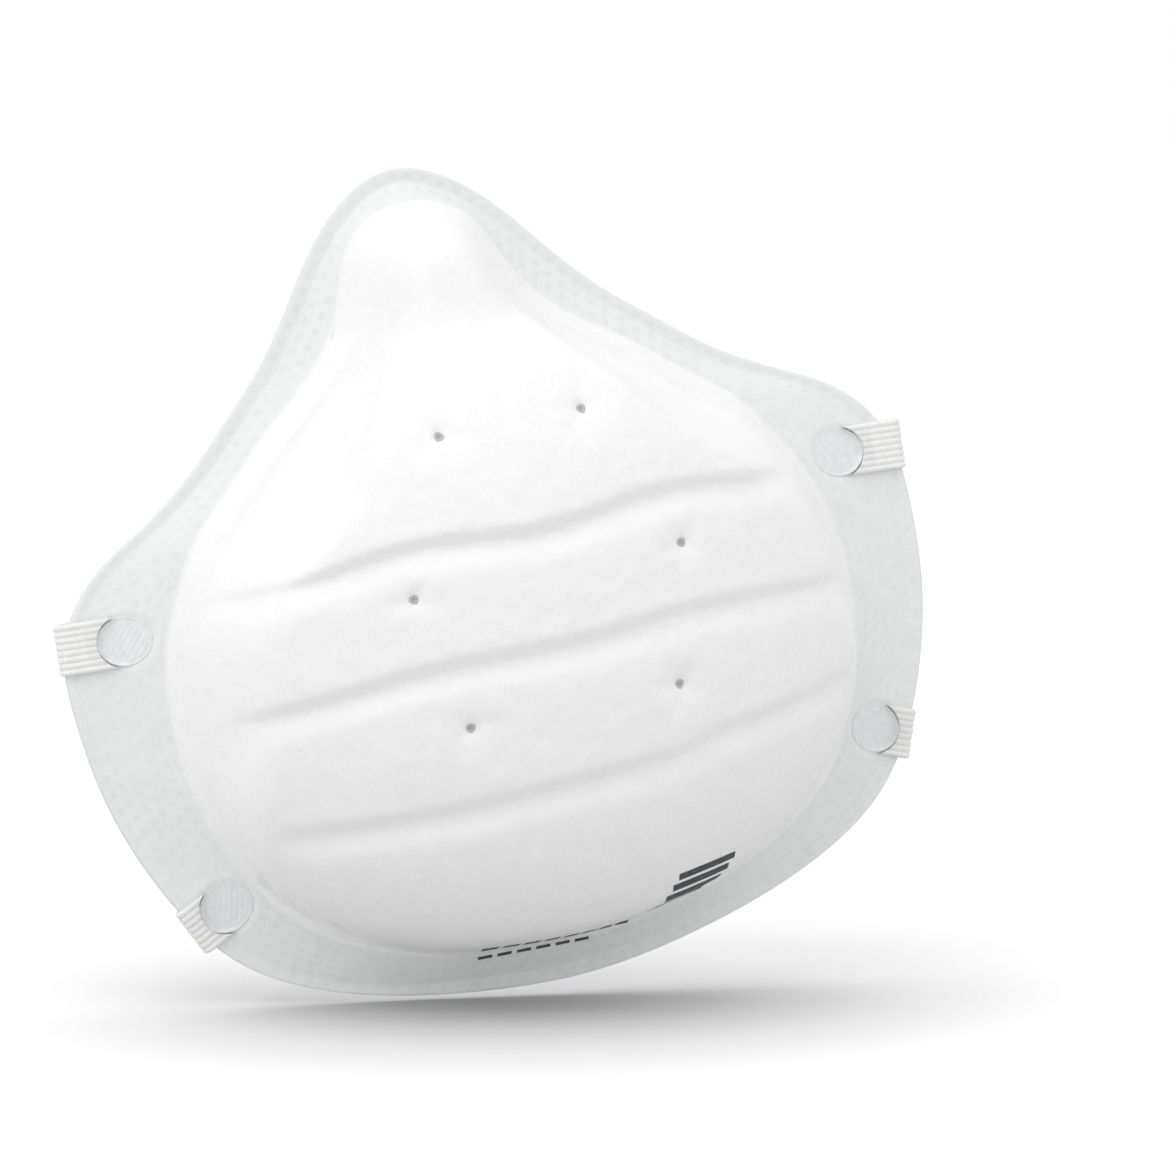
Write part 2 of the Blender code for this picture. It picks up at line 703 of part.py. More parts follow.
def on_side(vectors, side):
    return [Vector((side * v.x, v.y, v.z)) for v in vectors]


def weld_frame(origin, along, wide, side):
    """Frame on the flange: X along the band, Z out of the front face."""
    def on_flange(offset):
        point = origin + offset
        return Vector((point.x, flange_front(point), point.z))

    run = on_flange(along * PROBE_LONG) - on_flange(along * -PROBE_LONG)
    rise = on_flange(wide * PROBE_WIDE) - on_flange(wide * -PROBE_WIDE)
    normal = run.cross(rise).normalized()
    if normal.y > 0:
        normal.negate()
    x_axis = (along - normal * along.dot(normal)).normalized()
    centre = on_flange(Vector((0, 0, 0)))
    normal, x_axis, centre = on_side((normal, x_axis, centre), side)
    frame = Matrix((x_axis, normal.cross(x_axis), normal)).transposed().to_4x4()
    frame.translation = centre * MM
    return frame


def band_weld(suffix, level, frame, strap_end):
    """Oval weld, and its hole through the sheets and the band's end."""
    hole = (WELD_LONG + WELD_CLEAR, WELD_WIDE + WELD_CLEAR)
    turned(f"{level}_band_weld_{suffix}", WELD_PROFILE, frame, WELD_SIDES, (WELD_LONG, WELD_WIDE))
    tool = cutter(f"{level}_weld_cutter_{suffix}", WELD_CUT_PROFILE, frame, WELD_SIDES, hole)
    cut([*SHEETS, strap_end], tool)


def headband(level, weld, degrees, crown_y):
    angle = math.radians(degrees)
    origin = Vector((weld[0], 0, weld[1]))
    along = Vector((math.cos(angle), 0, math.sin(angle)))
    wide = Vector((-math.sin(angle), 0, math.cos(angle)))
    crown = Vector((0, crown_y, weld[1]))
    end, arm, half_crown = band_parts(origin, along, wide, rim_reach(weld, angle), crown)
    for side_name, side in SIDES:
        strap_end, _ = (
            ribbon(f"{level}_band_{part}_{side_name}", *(on_side(line, side) for line in lines))
            for part, lines in (("end", end), ("arm", arm))
        )
        band_weld(side_name, level, weld_frame(origin, along, wide, side), strap_end)
    ribbon(f"{level}_band_crown", *(on_side(line, -1) + line[-2::-1] for line in half_crown))


for band in BANDS:
    headband(*band)
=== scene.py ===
"""A disposable dust mask: a moulded cup of four sheets, a welded flange and two headbands.

The cup bulges towards -Y and the face goes on the +Y side. X runs across the mask,
with "left" at -X, and Z runs up from chin to nose. Lengths are in millimetres until
a mesh is made, unless a comment says metres.
"""
import math
from dataclasses import dataclass, replace

import bpy
import bmesh
import numpy as np
from mathutils import Matrix, Vector, noise
from mathutils.bvhtree import BVHTree


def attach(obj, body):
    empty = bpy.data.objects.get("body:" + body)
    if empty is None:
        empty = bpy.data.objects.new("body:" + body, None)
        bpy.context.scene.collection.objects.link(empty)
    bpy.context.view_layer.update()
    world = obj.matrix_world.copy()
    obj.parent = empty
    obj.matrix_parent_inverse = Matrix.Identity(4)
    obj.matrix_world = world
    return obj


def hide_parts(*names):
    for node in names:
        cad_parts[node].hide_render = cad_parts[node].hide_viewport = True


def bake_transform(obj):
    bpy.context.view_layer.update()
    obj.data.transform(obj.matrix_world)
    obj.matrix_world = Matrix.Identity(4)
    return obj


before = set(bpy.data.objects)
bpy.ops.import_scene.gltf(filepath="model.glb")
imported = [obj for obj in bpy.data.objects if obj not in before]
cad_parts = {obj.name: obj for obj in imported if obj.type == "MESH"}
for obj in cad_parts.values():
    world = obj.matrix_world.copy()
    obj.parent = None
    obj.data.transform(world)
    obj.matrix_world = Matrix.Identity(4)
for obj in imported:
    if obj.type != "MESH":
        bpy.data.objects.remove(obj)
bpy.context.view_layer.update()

MM = 0.001

# ---- dimensions
# right half of the outline, chin to nose: cut edge x, z, then cup foot x, z
STATIONS = [
    (0.0, -68.3, 0.0, -61.8), (20.5, -66.2, 16.0, -60.3), (42.0, -60.3, 31.5, -56.2),
    (56.0, -52.0, 44.0, -49.0), (66.5, -36.0, 53.3, -35.5), (71.5, -20.0, 57.6, -21.5),
    (72.9, -6.0, 57.9, -8.5), (71.8, 5.5, 55.6, 2.5), (66.2, 14.1, 51.5, 10.8),
    (54.5, 21.5, 46.0, 18.5), (45.0, 27.7, 39.0, 24.6), (37.3, 34.4, 31.5, 31.2),
    (29.7, 41.4, 23.0, 37.8), (22.1, 50.6, 15.6, 46.6), (12.7, 62.0, 10.2, 57.6),
    (0.0, 68.3, 0.0, 62.2),
]
# sheets front to back: cover, stiffener, filter, liner
SHEET_T = (0.5, 0.8, 0.8, 0.4)
FLANGE_T, FLANGE_GAP = (0.45, 0.30, 0.30, 0.45), 0.05
# front and back face of each sheet in the flange, back from the flange front
FLANGE_FACES = np.cumsum([0.0] + [v for t in FLANGE_T for v in (t, FLANGE_GAP)][:-1]).round(2)
FLANGE_STACK = FLANGE_FACES[-1]
RIM_BACK_Y, RIM_LAND_W = 5.0, 2.4
RIM_FRONT_Y = RIM_BACK_Y - FLANGE_STACK
DOME_DEPTH, DOME_HALF_W, DOME_SIDE_POWER, DOME_Z = 43.5, 61.0, 1.9, -6.0
DOME_UP, DOME_UP_POWER = 52.0, 2.4
DOME_DOWN, DOME_DOWN_POWER = 57.0, 2.2
WALL_SLOPE, WALL_FILLET = 3.0, 1.1
CHIN_SLOPE, CHIN_FILLET = 8.5, 0.7      # round the chin the wall stands nearly square
FLANK_SLOPE, FLANK_SLOPE_NOSE = 3.3, 6.5
NOSE_Z0, NOSE_Y0, NOSE_FALL = 58.0, 17.5, 0.32
NOSE_HALF_W, NOSE_FLARE = 15.0, 0.12
SHOULDER_H, SHOULDER_W = 5.0, 5.2
LOOSE_GAP = 2.4                         # between stiffener and filter
# stiffening grooves: z on the centre line, side bows, lift at the ends, half length,
# fall from left to right per mm, lift of the right-hand part, x where it starts and ends
GROOVES = [
    (6.2, 1.7, -0.9, 51.0, 0.027, 0.0, 0.0, 1.0),
    (-12.3, 0.7, -1.5, 53.5, 0.024, 0.0, 20.0, 27.0),
    (-34.2, 0.0, 2.6, 51.0, 0.004, 1.6, 12.0, 24.0),
]
GROOVE_DEPTH, GROOVE_UP, GROOVE_DOWN = 1.95, 1.25, 2.7
GROOVE_BOW_X = 42.0                     # the side bows end here
# tack welds, each a little off a regular place: x, z
TACKS = {"upper_left": (-11.3, 24.8), "upper_right": (12.2, 23.5), "middle_left": (-22.6, 1.1),
         "middle_right": (21.7, -1.0), "lower_left": (-18.8, -20.8), "lower_right": (15.8, -22.7)}
TACK_RADIUS = 0.9
BAND_W, BAND_T = 8.4, 1.0
CORDS = 8                               # cords across a headband
WELD_LONG, WELD_WIDE = 4.6, 4.1         # half axes of the oval strap welds
# headbands: level, weld x, z, outward direction and skew in degrees, y of the crown
BANDS = (("upper", (62.3, 4.5), 0.0, 6.0, 42.87), ("lower", (57.0, -41.8), -23.3, 0.0, 38.0))


# ---- curves and falloffs
def rise(start, stop, value):
    """Smooth step from 0 to 1."""
    value = np.clip((value - start) / (stop - start), 0.0, 1.0)
    return value * value * (3 - 2 * value)


def fall(start, stop, value):
    return 1 - rise(start, stop, value)


def bell(value, width, power=2):
    return np.exp(-((value / width) ** power))


def soft_min(a, b, blend):
    return -blend * np.logaddexp(-a / blend, -b / blend)


def soft_max(a, b, blend):
    return blend * np.logaddexp(a / blend, b / blend)


def cubic_weights(t):
    """Weights of four neighbours for cubic interpolation at t between the middle two."""
    return ((-t + 2 * t**2 - t**3) / 2, (2 - 5 * t**2 + 3 * t**3) / 2,
            (t + 4 * t**2 - 3 * t**3) / 2, (-(t**2) + t**3) / 2)


def cloud(x, z, scale, seed, octaves):
    """Fractal noise over the plan."""
    return np.array([noise.fractal(Vector((a / scale, b / scale, seed)), 1.0, 2.0, octaves)
                     for a, b in zip(x, z)])


# ---- outline
half = np.array(STATIONS)
RING = np.vstack([half, half[-2:0:-1] * np.array([-1, 1, -1, 1])])
sides = np.linalg.norm(np.diff(np.vstack([RING, RING[:1]])[:, :2], axis=0), axis=1)
KNOTS = np.concatenate([[0.0], np.cumsum(sides)[:-1]])
LENGTH = float(sides.sum())
HALF_LENGTH = float(KNOTS[len(half) - 1])


def periodic_spline(knots, points, length):
    """Second derivatives at the knots of a closed cubic spline."""
    count = len(knots)
    span = np.diff(np.append(knots, knots[0] + length))
    matrix = np.zeros((count, count))
    right = np.zeros((count, points.shape[1]))
    for i in range(count):
        j, k = (i - 1) % count, (i + 1) % count
        matrix[i, j] += span[j]
        matrix[i, i] += 2 * (span[j] + span[i])
        matrix[i, k] += span[i]
        right[i] = 6 * ((points[k] - points[i]) / span[i] - (points[i] - points[j]) / span[j])
    return np.linalg.solve(matrix, right)


CURVE = periodic_spline(KNOTS, RING, LENGTH)


def outline(arc):
    """Cut edge x, z and cup foot x, z at arc positions counted from the chin."""
    arc = np.asarray(arc, float) % LENGTH
    i = np.searchsorted(KNOTS, arc, side="right") - 1
    k = (i + 1) % len(KNOTS)
    end = np.where(k == 0, LENGTH, KNOTS[k])
    span = end - KNOTS[i]
    a, b = ((end - arc) / span)[..., None], ((arc - KNOTS[i]) / span)[..., None]
    span = span[..., None]
    bend = (a**3 - a) * CURVE[i] + (b**3 - b) * CURVE[k]
    return a * RING[i] + b * RING[k] + bend * span * span / 6


FOOT = outline(np.linspace(0, LENGTH, 360, endpoint=False))[:, 2:]
PLAN_X, PLAN_Z = np.arange(-66.0, 67.0), np.arange(-70.0, 71.0)


def soften(field, sigma):
    """Gaussian blur of a plan field."""
    reach = int(3 * sigma) + 1
    kernel = np.exp(-0.5 * (np.arange(-reach, reach + 1) / sigma) ** 2)
    kernel /= kernel.sum()
    field = np.pad(field, reach, mode="reflect", reflect_type="odd")
    for axis in (0, 1):
        field = np.apply_along_axis(lambda line: np.convolve(line, kernel, "valid"), axis, field)
    return field


def plan_fields():
    """Distance in from the cup foot, and the share of upper flank wall, on the plan."""
    plan_x, plan_z = np.meshgrid(PLAN_X, PLAN_Z, indexing="ij")
    points = np.stack([plan_x.ravel(), plan_z.ravel()], 1)
    best = np.full(len(points), 1e9)
    nearest = np.zeros_like(points)
    inside = np.zeros(len(points), bool)
    for start, end in zip(FOOT, np.roll(FOOT, -1, axis=0)):
        side = end - start
        share = np.clip(((points - start) @ side) / (side @ side), 0, 1)
        on_side = start + share[:, None] * side
        away = np.hypot(*(points - on_side).T)
        closer = away < best
        best[closer], nearest[closer] = away[closer], on_side[closer]
        if start[1] != end[1]:
            spans = (start[1] > points[:, 1]) != (end[1] > points[:, 1])
            cross_x = start[0] + (points[:, 1] - start[1]) / (end[1] - start[1]) * side[0]
            inside ^= spans & (points[:, 0] < cross_x)
    depth = np.where(inside, best, -best)
    flank = rise(15.0, 20.0, np.abs(nearest[:, 0])) * rise(9.0, 20.0, nearest[:, 1])
    return (soften(depth.reshape(plan_x.shape), 2.0),
            soften(flank.reshape(plan_x.shape), 3.0))


INSIDE, FLANK = plan_fields()


def sample(field, x, z):
    """Cubic lookup in a plan field."""
    u = np.clip(np.asarray(x, float) - PLAN_X[0], 1.0, len(PLAN_X) - 2.001)
    v = np.clip(np.asarray(z, float) - PLAN_Z[0], 1.0, len(PLAN_Z) - 2.001)
    i, j = u.astype(int), v.astype(int)
    total = 0.0
    for a, weight_u in enumerate(cubic_weights(u - i)):
        for b, weight_v in enumerate(cubic_weights(v - j)):
            row = np.clip(i + a - 1, 0, len(PLAN_X) - 1)
            col = np.clip(j + b - 1, 0, len(PLAN_Z) - 1)
            total = total + weight_u * weight_v * field[row, col]
    return total


def inward(x, z):
    """Distance in from the cup foot, 0 outside it."""
    return np.maximum(sample(INSIDE, x, z), 0.0)


# ---- cup shape
def cup_height(x, z):
    """How far the cup stands out towards -Y: the lower of its top and its wall."""
    depth = inward(x, z)
    above = z - DOME_Z
    drop = np.where(above > 0, (np.maximum(above, 0) / DOME_UP) ** DOME_UP_POWER,
                    (np.maximum(-above, 0) / DOME_DOWN) ** DOME_DOWN_POWER)
    side_drop = np.abs(x / DOME_HALF_W) ** DOME_SIDE_POWER
    dome = DOME_DEPTH * np.sqrt(np.maximum(1 - side_drop - drop, 1e-4))
    nose_w = NOSE_HALF_W + NOSE_FLARE * np.maximum(NOSE_Z0 - z, 0.0)
    across = np.maximum(1 - np.minimum(np.abs(x) / nose_w, 1.0) ** 3, 0.0) ** 0.8
    nose = (NOSE_Y0 + (NOSE_Z0 - z) * NOSE_FALL) * across * rise(5.0, 30.0, z)
    top = soft_max(dome, nose, blend=1.8)
    chin = fall(-44.0, -14.0, z)
    wall_slope = WALL_SLOPE + (CHIN_SLOPE - WALL_SLOPE) * chin
    steep = wall_slope * depth * depth / (depth + WALL_FILLET + (CHIN_FILLET - WALL_FILLET) * chin)
    # the upper flanks have a low shoulder before the wall rises
    slope = FLANK_SLOPE + (FLANK_SLOPE_NOSE - FLANK_SLOPE) * fall(12.0, 28.0, np.abs(x))
    flank = (SHOULDER_H * rise(0.0, 2.6, depth) + 0.3 * depth
             - 0.5 * bell(depth - SHOULDER_W, 2.0)
             + slope * soft_max(depth - SHOULDER_W, 0.0, blend=0.8))
    wall = steep + (flank - steep) * np.clip(sample(FLANK, x, z), 0, 1)
    return np.maximum(soft_min(top, wall, blend=2.2), 0.0)


def groove(x, z):
    """Depth of the grooves, with a short upper wall and a long lower one."""
    depth = 0.0
    across = np.abs(x)
    for middle, bow, end_lift, half_length, tilt, shift, start, stop in GROOVES:
        line = (middle + bow * np.sin(np.pi * np.minimum(across, GROOVE_BOW_X) / GROOVE_BOW_X) ** 2
                + end_lift * (across / half_length) ** 3)
        line = line + shift * rise(start, stop, x) - tilt * x
        # shallower where the line shifts, at the ends and towards the right
        fade = fall(half_length - 6.0, half_length, across)
        fade = fade * (1 - 0.45 * (shift != 0) * bell(x - (start + stop) / 2, 0.5 * (stop - start)))
        fade = fade * (1 - 0.25 * rise(15.0, 45.0, x))
        up = z - line
        depth = depth + GROOVE_DEPTH * fade * bell(up, np.where(up > 0, GROOVE_UP, GROOVE_DOWN))
    return depth


def slope_factor(x, z):
    """How much thicker a sheet measures along Y where the cup slopes."""
    e = 0.5
    slope_x = (cup_height(x + e, z) - cup_height(x - e, z)) / (2 * e)
    slope_z = (cup_height(x, z + e) - cup_height(x, z - e)) / (2 * e)
    return np.minimum(np.sqrt(1 + slope_x * slope_x + slope_z * slope_z), 2.6)


def near_tacks(x, z, sigma):
    """1 at the tack welds, falling to 0 around them."""
    near = np.zeros_like(x)
    for tack_x, tack_z in TACKS.values():
        square = (x - tack_x) ** 2 + (z - tack_z) ** 2
        near = np.maximum(near, np.exp(-square / (2 * sigma**2)))
    return near


def tack_dimples(x, z):
    """Depth of the dimples: a wide hollow, a pit in it and five puckers round it."""
    dimple = np.zeros_like(x)
    for tack_x, tack_z in TACKS.values():
        dx, dz = x - tack_x, z - tack_z
        square = dx * dx + dz * dz
        radius = np.sqrt(square)
        dimple += 0.85 * np.exp(-square / (2 * 2.0**2)) + 0.60 * bell(radius, 1.1, 3)
        dimple += 0.10 * np.cos(5 * np.arctan2(dz, dx) + tack_x) * bell(radius - 3.6, 2.0)
    return dimple


def cup_stack(x, z):
    """y of the eight faces of the four sheets inside the cup, front to back."""
    depth = inward(x, z)
    inside = rise(0.0, 3.0, depth)
    core = near_tacks(x, z, 1.5)
    squeeze = (1 + (slope_factor(x, z) - 1) * inside) * (1 - 0.72 * core)
    cover_t, stiff_t, filter_t, liner_t = [
        (thin + (full - thin) * inside) * squeeze for full, thin in zip(SHEET_T, FLANGE_T)]
    gap = (FLANGE_GAP + 0.07 * inside) * (1 - 0.6 * core)
    relief = groove(x, z) + tack_dimples(x, z)
    cover = -cup_height(x, z) + relief
    stiff = cover + cover_t + gap
    stiff_back = stiff + stiff_t
    # the filter hangs clear of the relief, except where it is tacked
    hang = LOOSE_GAP * rise(1.5, 9.0, depth) * (1 - near_tacks(x, z, 3.0))
    felt = stiff_back - relief + gap + soft_max(hang, relief, blend=0.15)
    liner = felt + filter_t + gap
    return [cover, cover + cover_t, stiff, stiff_back, felt, felt + filter_t,
            liner, liner + liner_t]


# ---- grid
# The foot outline is cut at two jaw corners and two nose corners into four sides.
# A patch between them covers the cup, and rings cover the flange.
JAW_ARC, NOSE_ARC = 46.0, 184.0


@dataclass
class Grid:
    """Quads over cup and flange, with arrays that hold one value per point."""
    points: np.ndarray      # x, z
    arc: np.ndarray         # arc position, on the flange
    edge_gap: np.ndarray    # distance in from the cut edge, -1 in the cup
    width: np.ndarray       # width of the flange here
    faces: np.ndarray
    edge: np.ndarray        # points of the outermost ring
    foot: np.ndarray        # points of the cup foot, the border of the patch
    shape: tuple            # rows and columns of points in the patch

    @property
    def x(self):
        return self.points[:, 0]

    @property
    def z(self):
        return self.points[:, 1]

    @property
    def cup(self):
        return self.edge_gap < 0

    @property
    def patch_size(self):
        return self.shape[0] * self.shape[1]


def relax(points, times):
    """Elliptic smoothing: the cells stay unfolded in the hollows beside the nose."""
    for _ in range(times):
        du = (points[1:-1, 2:] - points[1:-1, :-2]) / 2
        dv = (points[2:, 1:-1] - points[:-2, 1:-1]) / 2
        a = (dv**2).sum(-1, keepdims=True) + 1e-9
        b = (du * dv).sum(-1, keepdims=True)
        c = (du**2).sum(-1, keepdims=True) + 1e-9
        cross = (points[2:, 2:] - points[2:, :-2] - points[:-2, 2:] + points[:-2, :-2]) / 4
        new = (a * (points[1:-1, 2:] + points[1:-1, :-2])
               + c * (points[2:, 1:-1] + points[:-2, 1:-1]) - 2 * b * cross) / (2 * (a + c))
        points[1:-1, 1:-1] += 0.9 * (new - points[1:-1, 1:-1])
    return points


def patch_sides(rows, cols):
    """Arc positions along the bottom, right, top and left side of the patch."""
    bottom = np.linspace(-JAW_ARC, JAW_ARC, cols + 1)
    right = np.linspace(JAW_ARC, NOSE_ARC, rows + 1)
    top = np.linspace(NOSE_ARC, 2 * HALF_LENGTH - NOSE_ARC, cols + 1)[::-1]      # left to right
    return bottom, right, top, (-right) % LENGTH


def plain_patch(rows, cols):
    """Coons patch between the four sides of the foot outline."""
    bottom, right, top, left = (outline(arc)[:, 2:] for arc in patch_sides(rows, cols))
    v = np.linspace(0, 1, len(left))[:, None, None]
    u = np.linspace(0, 1, len(bottom))[None, :, None]
    return ((1 - v) * bottom[None] + v * top[None] + (1 - u) * left[:, None] + u * right[:, None]
            - (1 - u) * (1 - v) * bottom[0] - u * (1 - v) * bottom[-1]
            - (1 - u) * v * top[0] - u * v * top[-1])


# how far the patch has to move from its plain form, on a coarse grid
coarse_patch = plain_patch(50, 42)
UNFOLD = relax(coarse_patch.copy(), 1500) - coarse_patch


def spread(field, rows, cols):
    """The coarse field on a finer grid."""
    i = np.linspace(0, field.shape[0] - 1, rows + 1)
    j = np.linspace(0, field.shape[1] - 1, cols + 1)
    row = np.minimum(i.astype(int), field.shape[0] - 2)
    col = np.minimum(j.astype(int), field.shape[1] - 2)
    a, b = (i - row)[:, None, None], (j - col)[None, :, None]
    lines = field[row] * (1 - a) + field[row + 1] * a
    return lines[:, col] * (1 - b) + lines[:, col + 1] * b


def lay_grid(rows, cols, rings):
    bottom, right, top, left = patch_sides(rows, cols)
    patch = relax(plain_patch(rows, cols) + spread(UNFOLD, rows, cols), 60).reshape(-1, 2)
    size = len(patch)
    index = np.arange(size).reshape(rows + 1, cols + 1)
    quads = np.stack([index[:-1, :-1], index[:-1, 1:], index[1:, 1:], index[1:, :-1]], -1)
    loop = np.concatenate([index[0, :-1], index[:-1, -1], index[-1, :0:-1], index[:0:-1, 0]])
    arc = np.concatenate([bottom[:-1] % LENGTH, right[:-1], top[:0:-1], left[:0:-1]])
    lines = outline(arc)
    edge, foot = lines[:, :2], lines[:, 2:]
    width = np.hypot(*(edge - foot).T)
    # the rings lie closer together at the foot and at the rounded cut edge
    outward = np.linspace(0, 1, rings + 1)[1:]
    outward = outward - 0.035 * np.sin(2 * math.pi * outward)
    loops = [loop] + [size + n * len(loop) + np.arange(len(loop)) for n in range(rings)]
    faces = [quads.reshape(-1, 4)]
    for a, b in zip(loops, loops[1:]):
        faces.append(np.stack([a, b, np.roll(b, -1), np.roll(a, -1)], -1))
    return Grid(
        points=np.vstack([patch] + [foot + (edge - foot) * f for f in outward]),
        arc=np.concatenate([np.zeros(size), np.tile(arc, rings)]),
        edge_gap=np.concatenate([np.full(size, -1.0)] + [width * (1 - f) for f in outward]),
        width=np.concatenate([np.zeros(size), np.tile(width, rings)]),
        faces=np.vstack(faces), edge=loops[-1], foot=loop, shape=(rows + 1, cols + 1))


def sheet_faces(grid):
    """y of all eight sheet faces on a grid."""
    cup, rim = grid.cup, ~grid.cup
    faces = np.zeros((8, len(grid.x)))
    faces[:, cup] = np.array(cup_stack(grid.x[cup], grid.z[cup]))
    width = grid.width[rim]
    out = np.clip((width - grid.edge_gap[rim]) / np.maximum(width - RIM_LAND_W, 0.1), 0, 1.0)
    for n, offset in enumerate(FLANGE_FACES):
        faces[n, rim] = RIM_FRONT_Y * out + offset
        faces[n, grid.foot] = offset
    return faces


def oval_distance(x, z):
    """Distance in half axes from the nearest strap weld, mirrored left and right."""
    best = np.full(len(x), 9.0)
    for _, (weld_x, weld_z), degrees, _, _ in BANDS:
        c, s = math.cos(math.radians(degrees)), math.sin(math.radians(degrees))
        dx, dz = np.abs(x) - weld_x, z - weld_z
        a, b = dx * c + dz * s, -dx * s + dz * c
        best = np.minimum(best, np.hypot(a / WELD_LONG, b / WELD_WIDE))
    return best


def emboss_rows(grid, first, row_pitch, pitch, margin, last_row=np.inf):
    """Offsets across and along from the nearest mark in staggered rows, and where marks go."""
    row = np.round((grid.edge_gap - first) / row_pitch)
    across = grid.edge_gap - first - row * row_pitch
    turn = grid.arc / (LENGTH / round(LENGTH / pitch)) + 0.5 * np.mod(row, 2)
    along = (turn - np.round(turn)) * pitch
    keep = ((grid.edge_gap > 0.5) & (row >= 0) & (row <= last_row)
            & (row * row_pitch + first < grid.width - margin))
    return across, along, keep


def emboss_front(grid):
    """Small pressed diamonds."""
    across, along, keep = emboss_rows(grid, first=1.5, row_pitch=2.0, pitch=2.9, margin=0.7)
    return np.where(keep, bell(np.abs(across) / 0.62 + np.abs(along) / 0.82, 1.0, 3), 0.0)


def emboss_back(grid):
    """Longer, slightly slanting pressed dashes."""
    across, along, keep = emboss_rows(grid, first=1.4, row_pitch=1.9, pitch=3.4, margin=0.6,
                                      last_row=4)
    across = across - 0.18 * along
    return np.where(keep, bell(np.abs(across), 0.48, 3) * bell(np.abs(along), 1.15, 4), 0.0)


# ---- meshes
def mesh_from(name, verts, faces, material, smooth=True):
    """An object from points in metres."""
    mesh = bpy.data.meshes.new(name)
    mesh.from_pydata([tuple(v) for v in verts], [], [tuple(int(i) for i in f) for f in faces])
    mesh.validate()
    if smooth:
        mesh.shade_smooth()
    mesh.materials.append(material)
    ob = bpy.data.objects.new(name, mesh)
    bpy.context.scene.collection.objects.link(ob)
    return ob


def set_attribute(ob, name, values, rest=0.0):
    """Store one float per vertex; vertices past the given values get `rest`."""
    full = np.full(len(ob.data.vertices), rest, np.float32)
    full[: len(values)] = values
    ob.data.attributes.new(name, "FLOAT", "POINT").data.foreach_set("value", full)


def fit(ob, node):
    """Put a piece in place of its CAD node, fixed to the mask."""
    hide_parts(node)
    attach(ob, "mask")


def closed_sheet(name, fine, fine_y, coarse, coarse_y, material, fine_in_front=True):
    """A closed sheet: a fine face, a face of half the resolution, and the cut edge."""
    size = len(fine.points)
    verts = np.vstack([np.stack([grid.x, y, grid.z], 1) * MM
                       for grid, y in ((fine, fine_y), (coarse, coarse_y))])
    faces = [*fine.faces, *(coarse.faces[:, ::-1] + size)]
    fine_edge, coarse_edge = fine.edge, coarse.edge + size
    count = len(coarse_edge)
    for i in range(count):
        a0, a1, a2 = fine_edge[2 * i], fine_edge[2 * i + 1], fine_edge[(2 * i + 2) % len(fine_edge)]
        b0, b1 = coarse_edge[i], coarse_edge[(i + 1) % count]
        faces += [(a0, b0, a1), (a1, b0, b1), (a1, b1, a2)]
    if not fine_in_front:
        faces = [f[::-1] for f in faces]
    return mesh_from(name, verts, faces, material)


# ---- materials
class Shader:
    """Short ways to add nodes to a node tree. An input takes an output or a plain value."""

    def __init__(self, owner):
        owner.use_nodes = True
        self.tree = owner.node_tree

    def feed(self, node, inputs):
        for key, value in inputs.items():
            if isinstance(value, bpy.types.NodeSocket):
                self.tree.links.new(value, node.inputs[key])
            else:
                node.inputs[key].default_value = value

    def node(self, kind, output, inputs=None, **settings):
        made = self.tree.nodes.new(kind)
        for key, value in settings.items():
            setattr(made, key, value)
        self.feed(made, inputs or {})
        return made.outputs[output]

    def surface(self, inputs):
        self.feed(self.tree.nodes["Principled BSDF"], inputs)

    def coords(self, scale=(1, 1, 1), rotation=(0, 0, 0)):
        place = self.node("ShaderNodeTexCoord", "Object")
        return self.node("ShaderNodeMapping", "Vector",
                         {"Vector": place, "Scale": scale, "Rotation": rotation})

    def noise(self, vector, scale, detail=3.0, rough=0.55):
        return self.node("ShaderNodeTexNoise", "Fac", {
            "Vector": vector, "Scale": scale, "Detail": detail, "Roughness": rough})

    def calc(self, operation, *values):
        return self.node("ShaderNodeMath", 0, dict(enumerate(values)), operation=operation)

    def mix(self, factor, a, b):
        """Colour a where the factor is 0, b where it is 1."""
        a, b = [(*v, 1.0) if isinstance(v, tuple) else v for v in (a, b)]
        return self.node("ShaderNodeMix", 2, {0: factor, 6: a, 7: b}, data_type="RGBA")

    def attribute(self, name):
        return self.node("ShaderNodeAttribute", "Fac", attribute_name=name)

    def ramp(self, value, low, high):
        return self.node("ShaderNodeMapRange", "Result",
                         {"Value": value, "From Min": low, "From Max": high})

    def bump(self, height, strength, distance, normal=None):
        inputs = {"Height": height, "Strength": strength, "Distance": distance}
        if normal is not None:
            inputs["Normal"] = normal
        return self.node("ShaderNodeBump", "Normal", inputs)


def new_material(name):
    material = bpy.data.materials.new(name)
    return material, Shader(material)


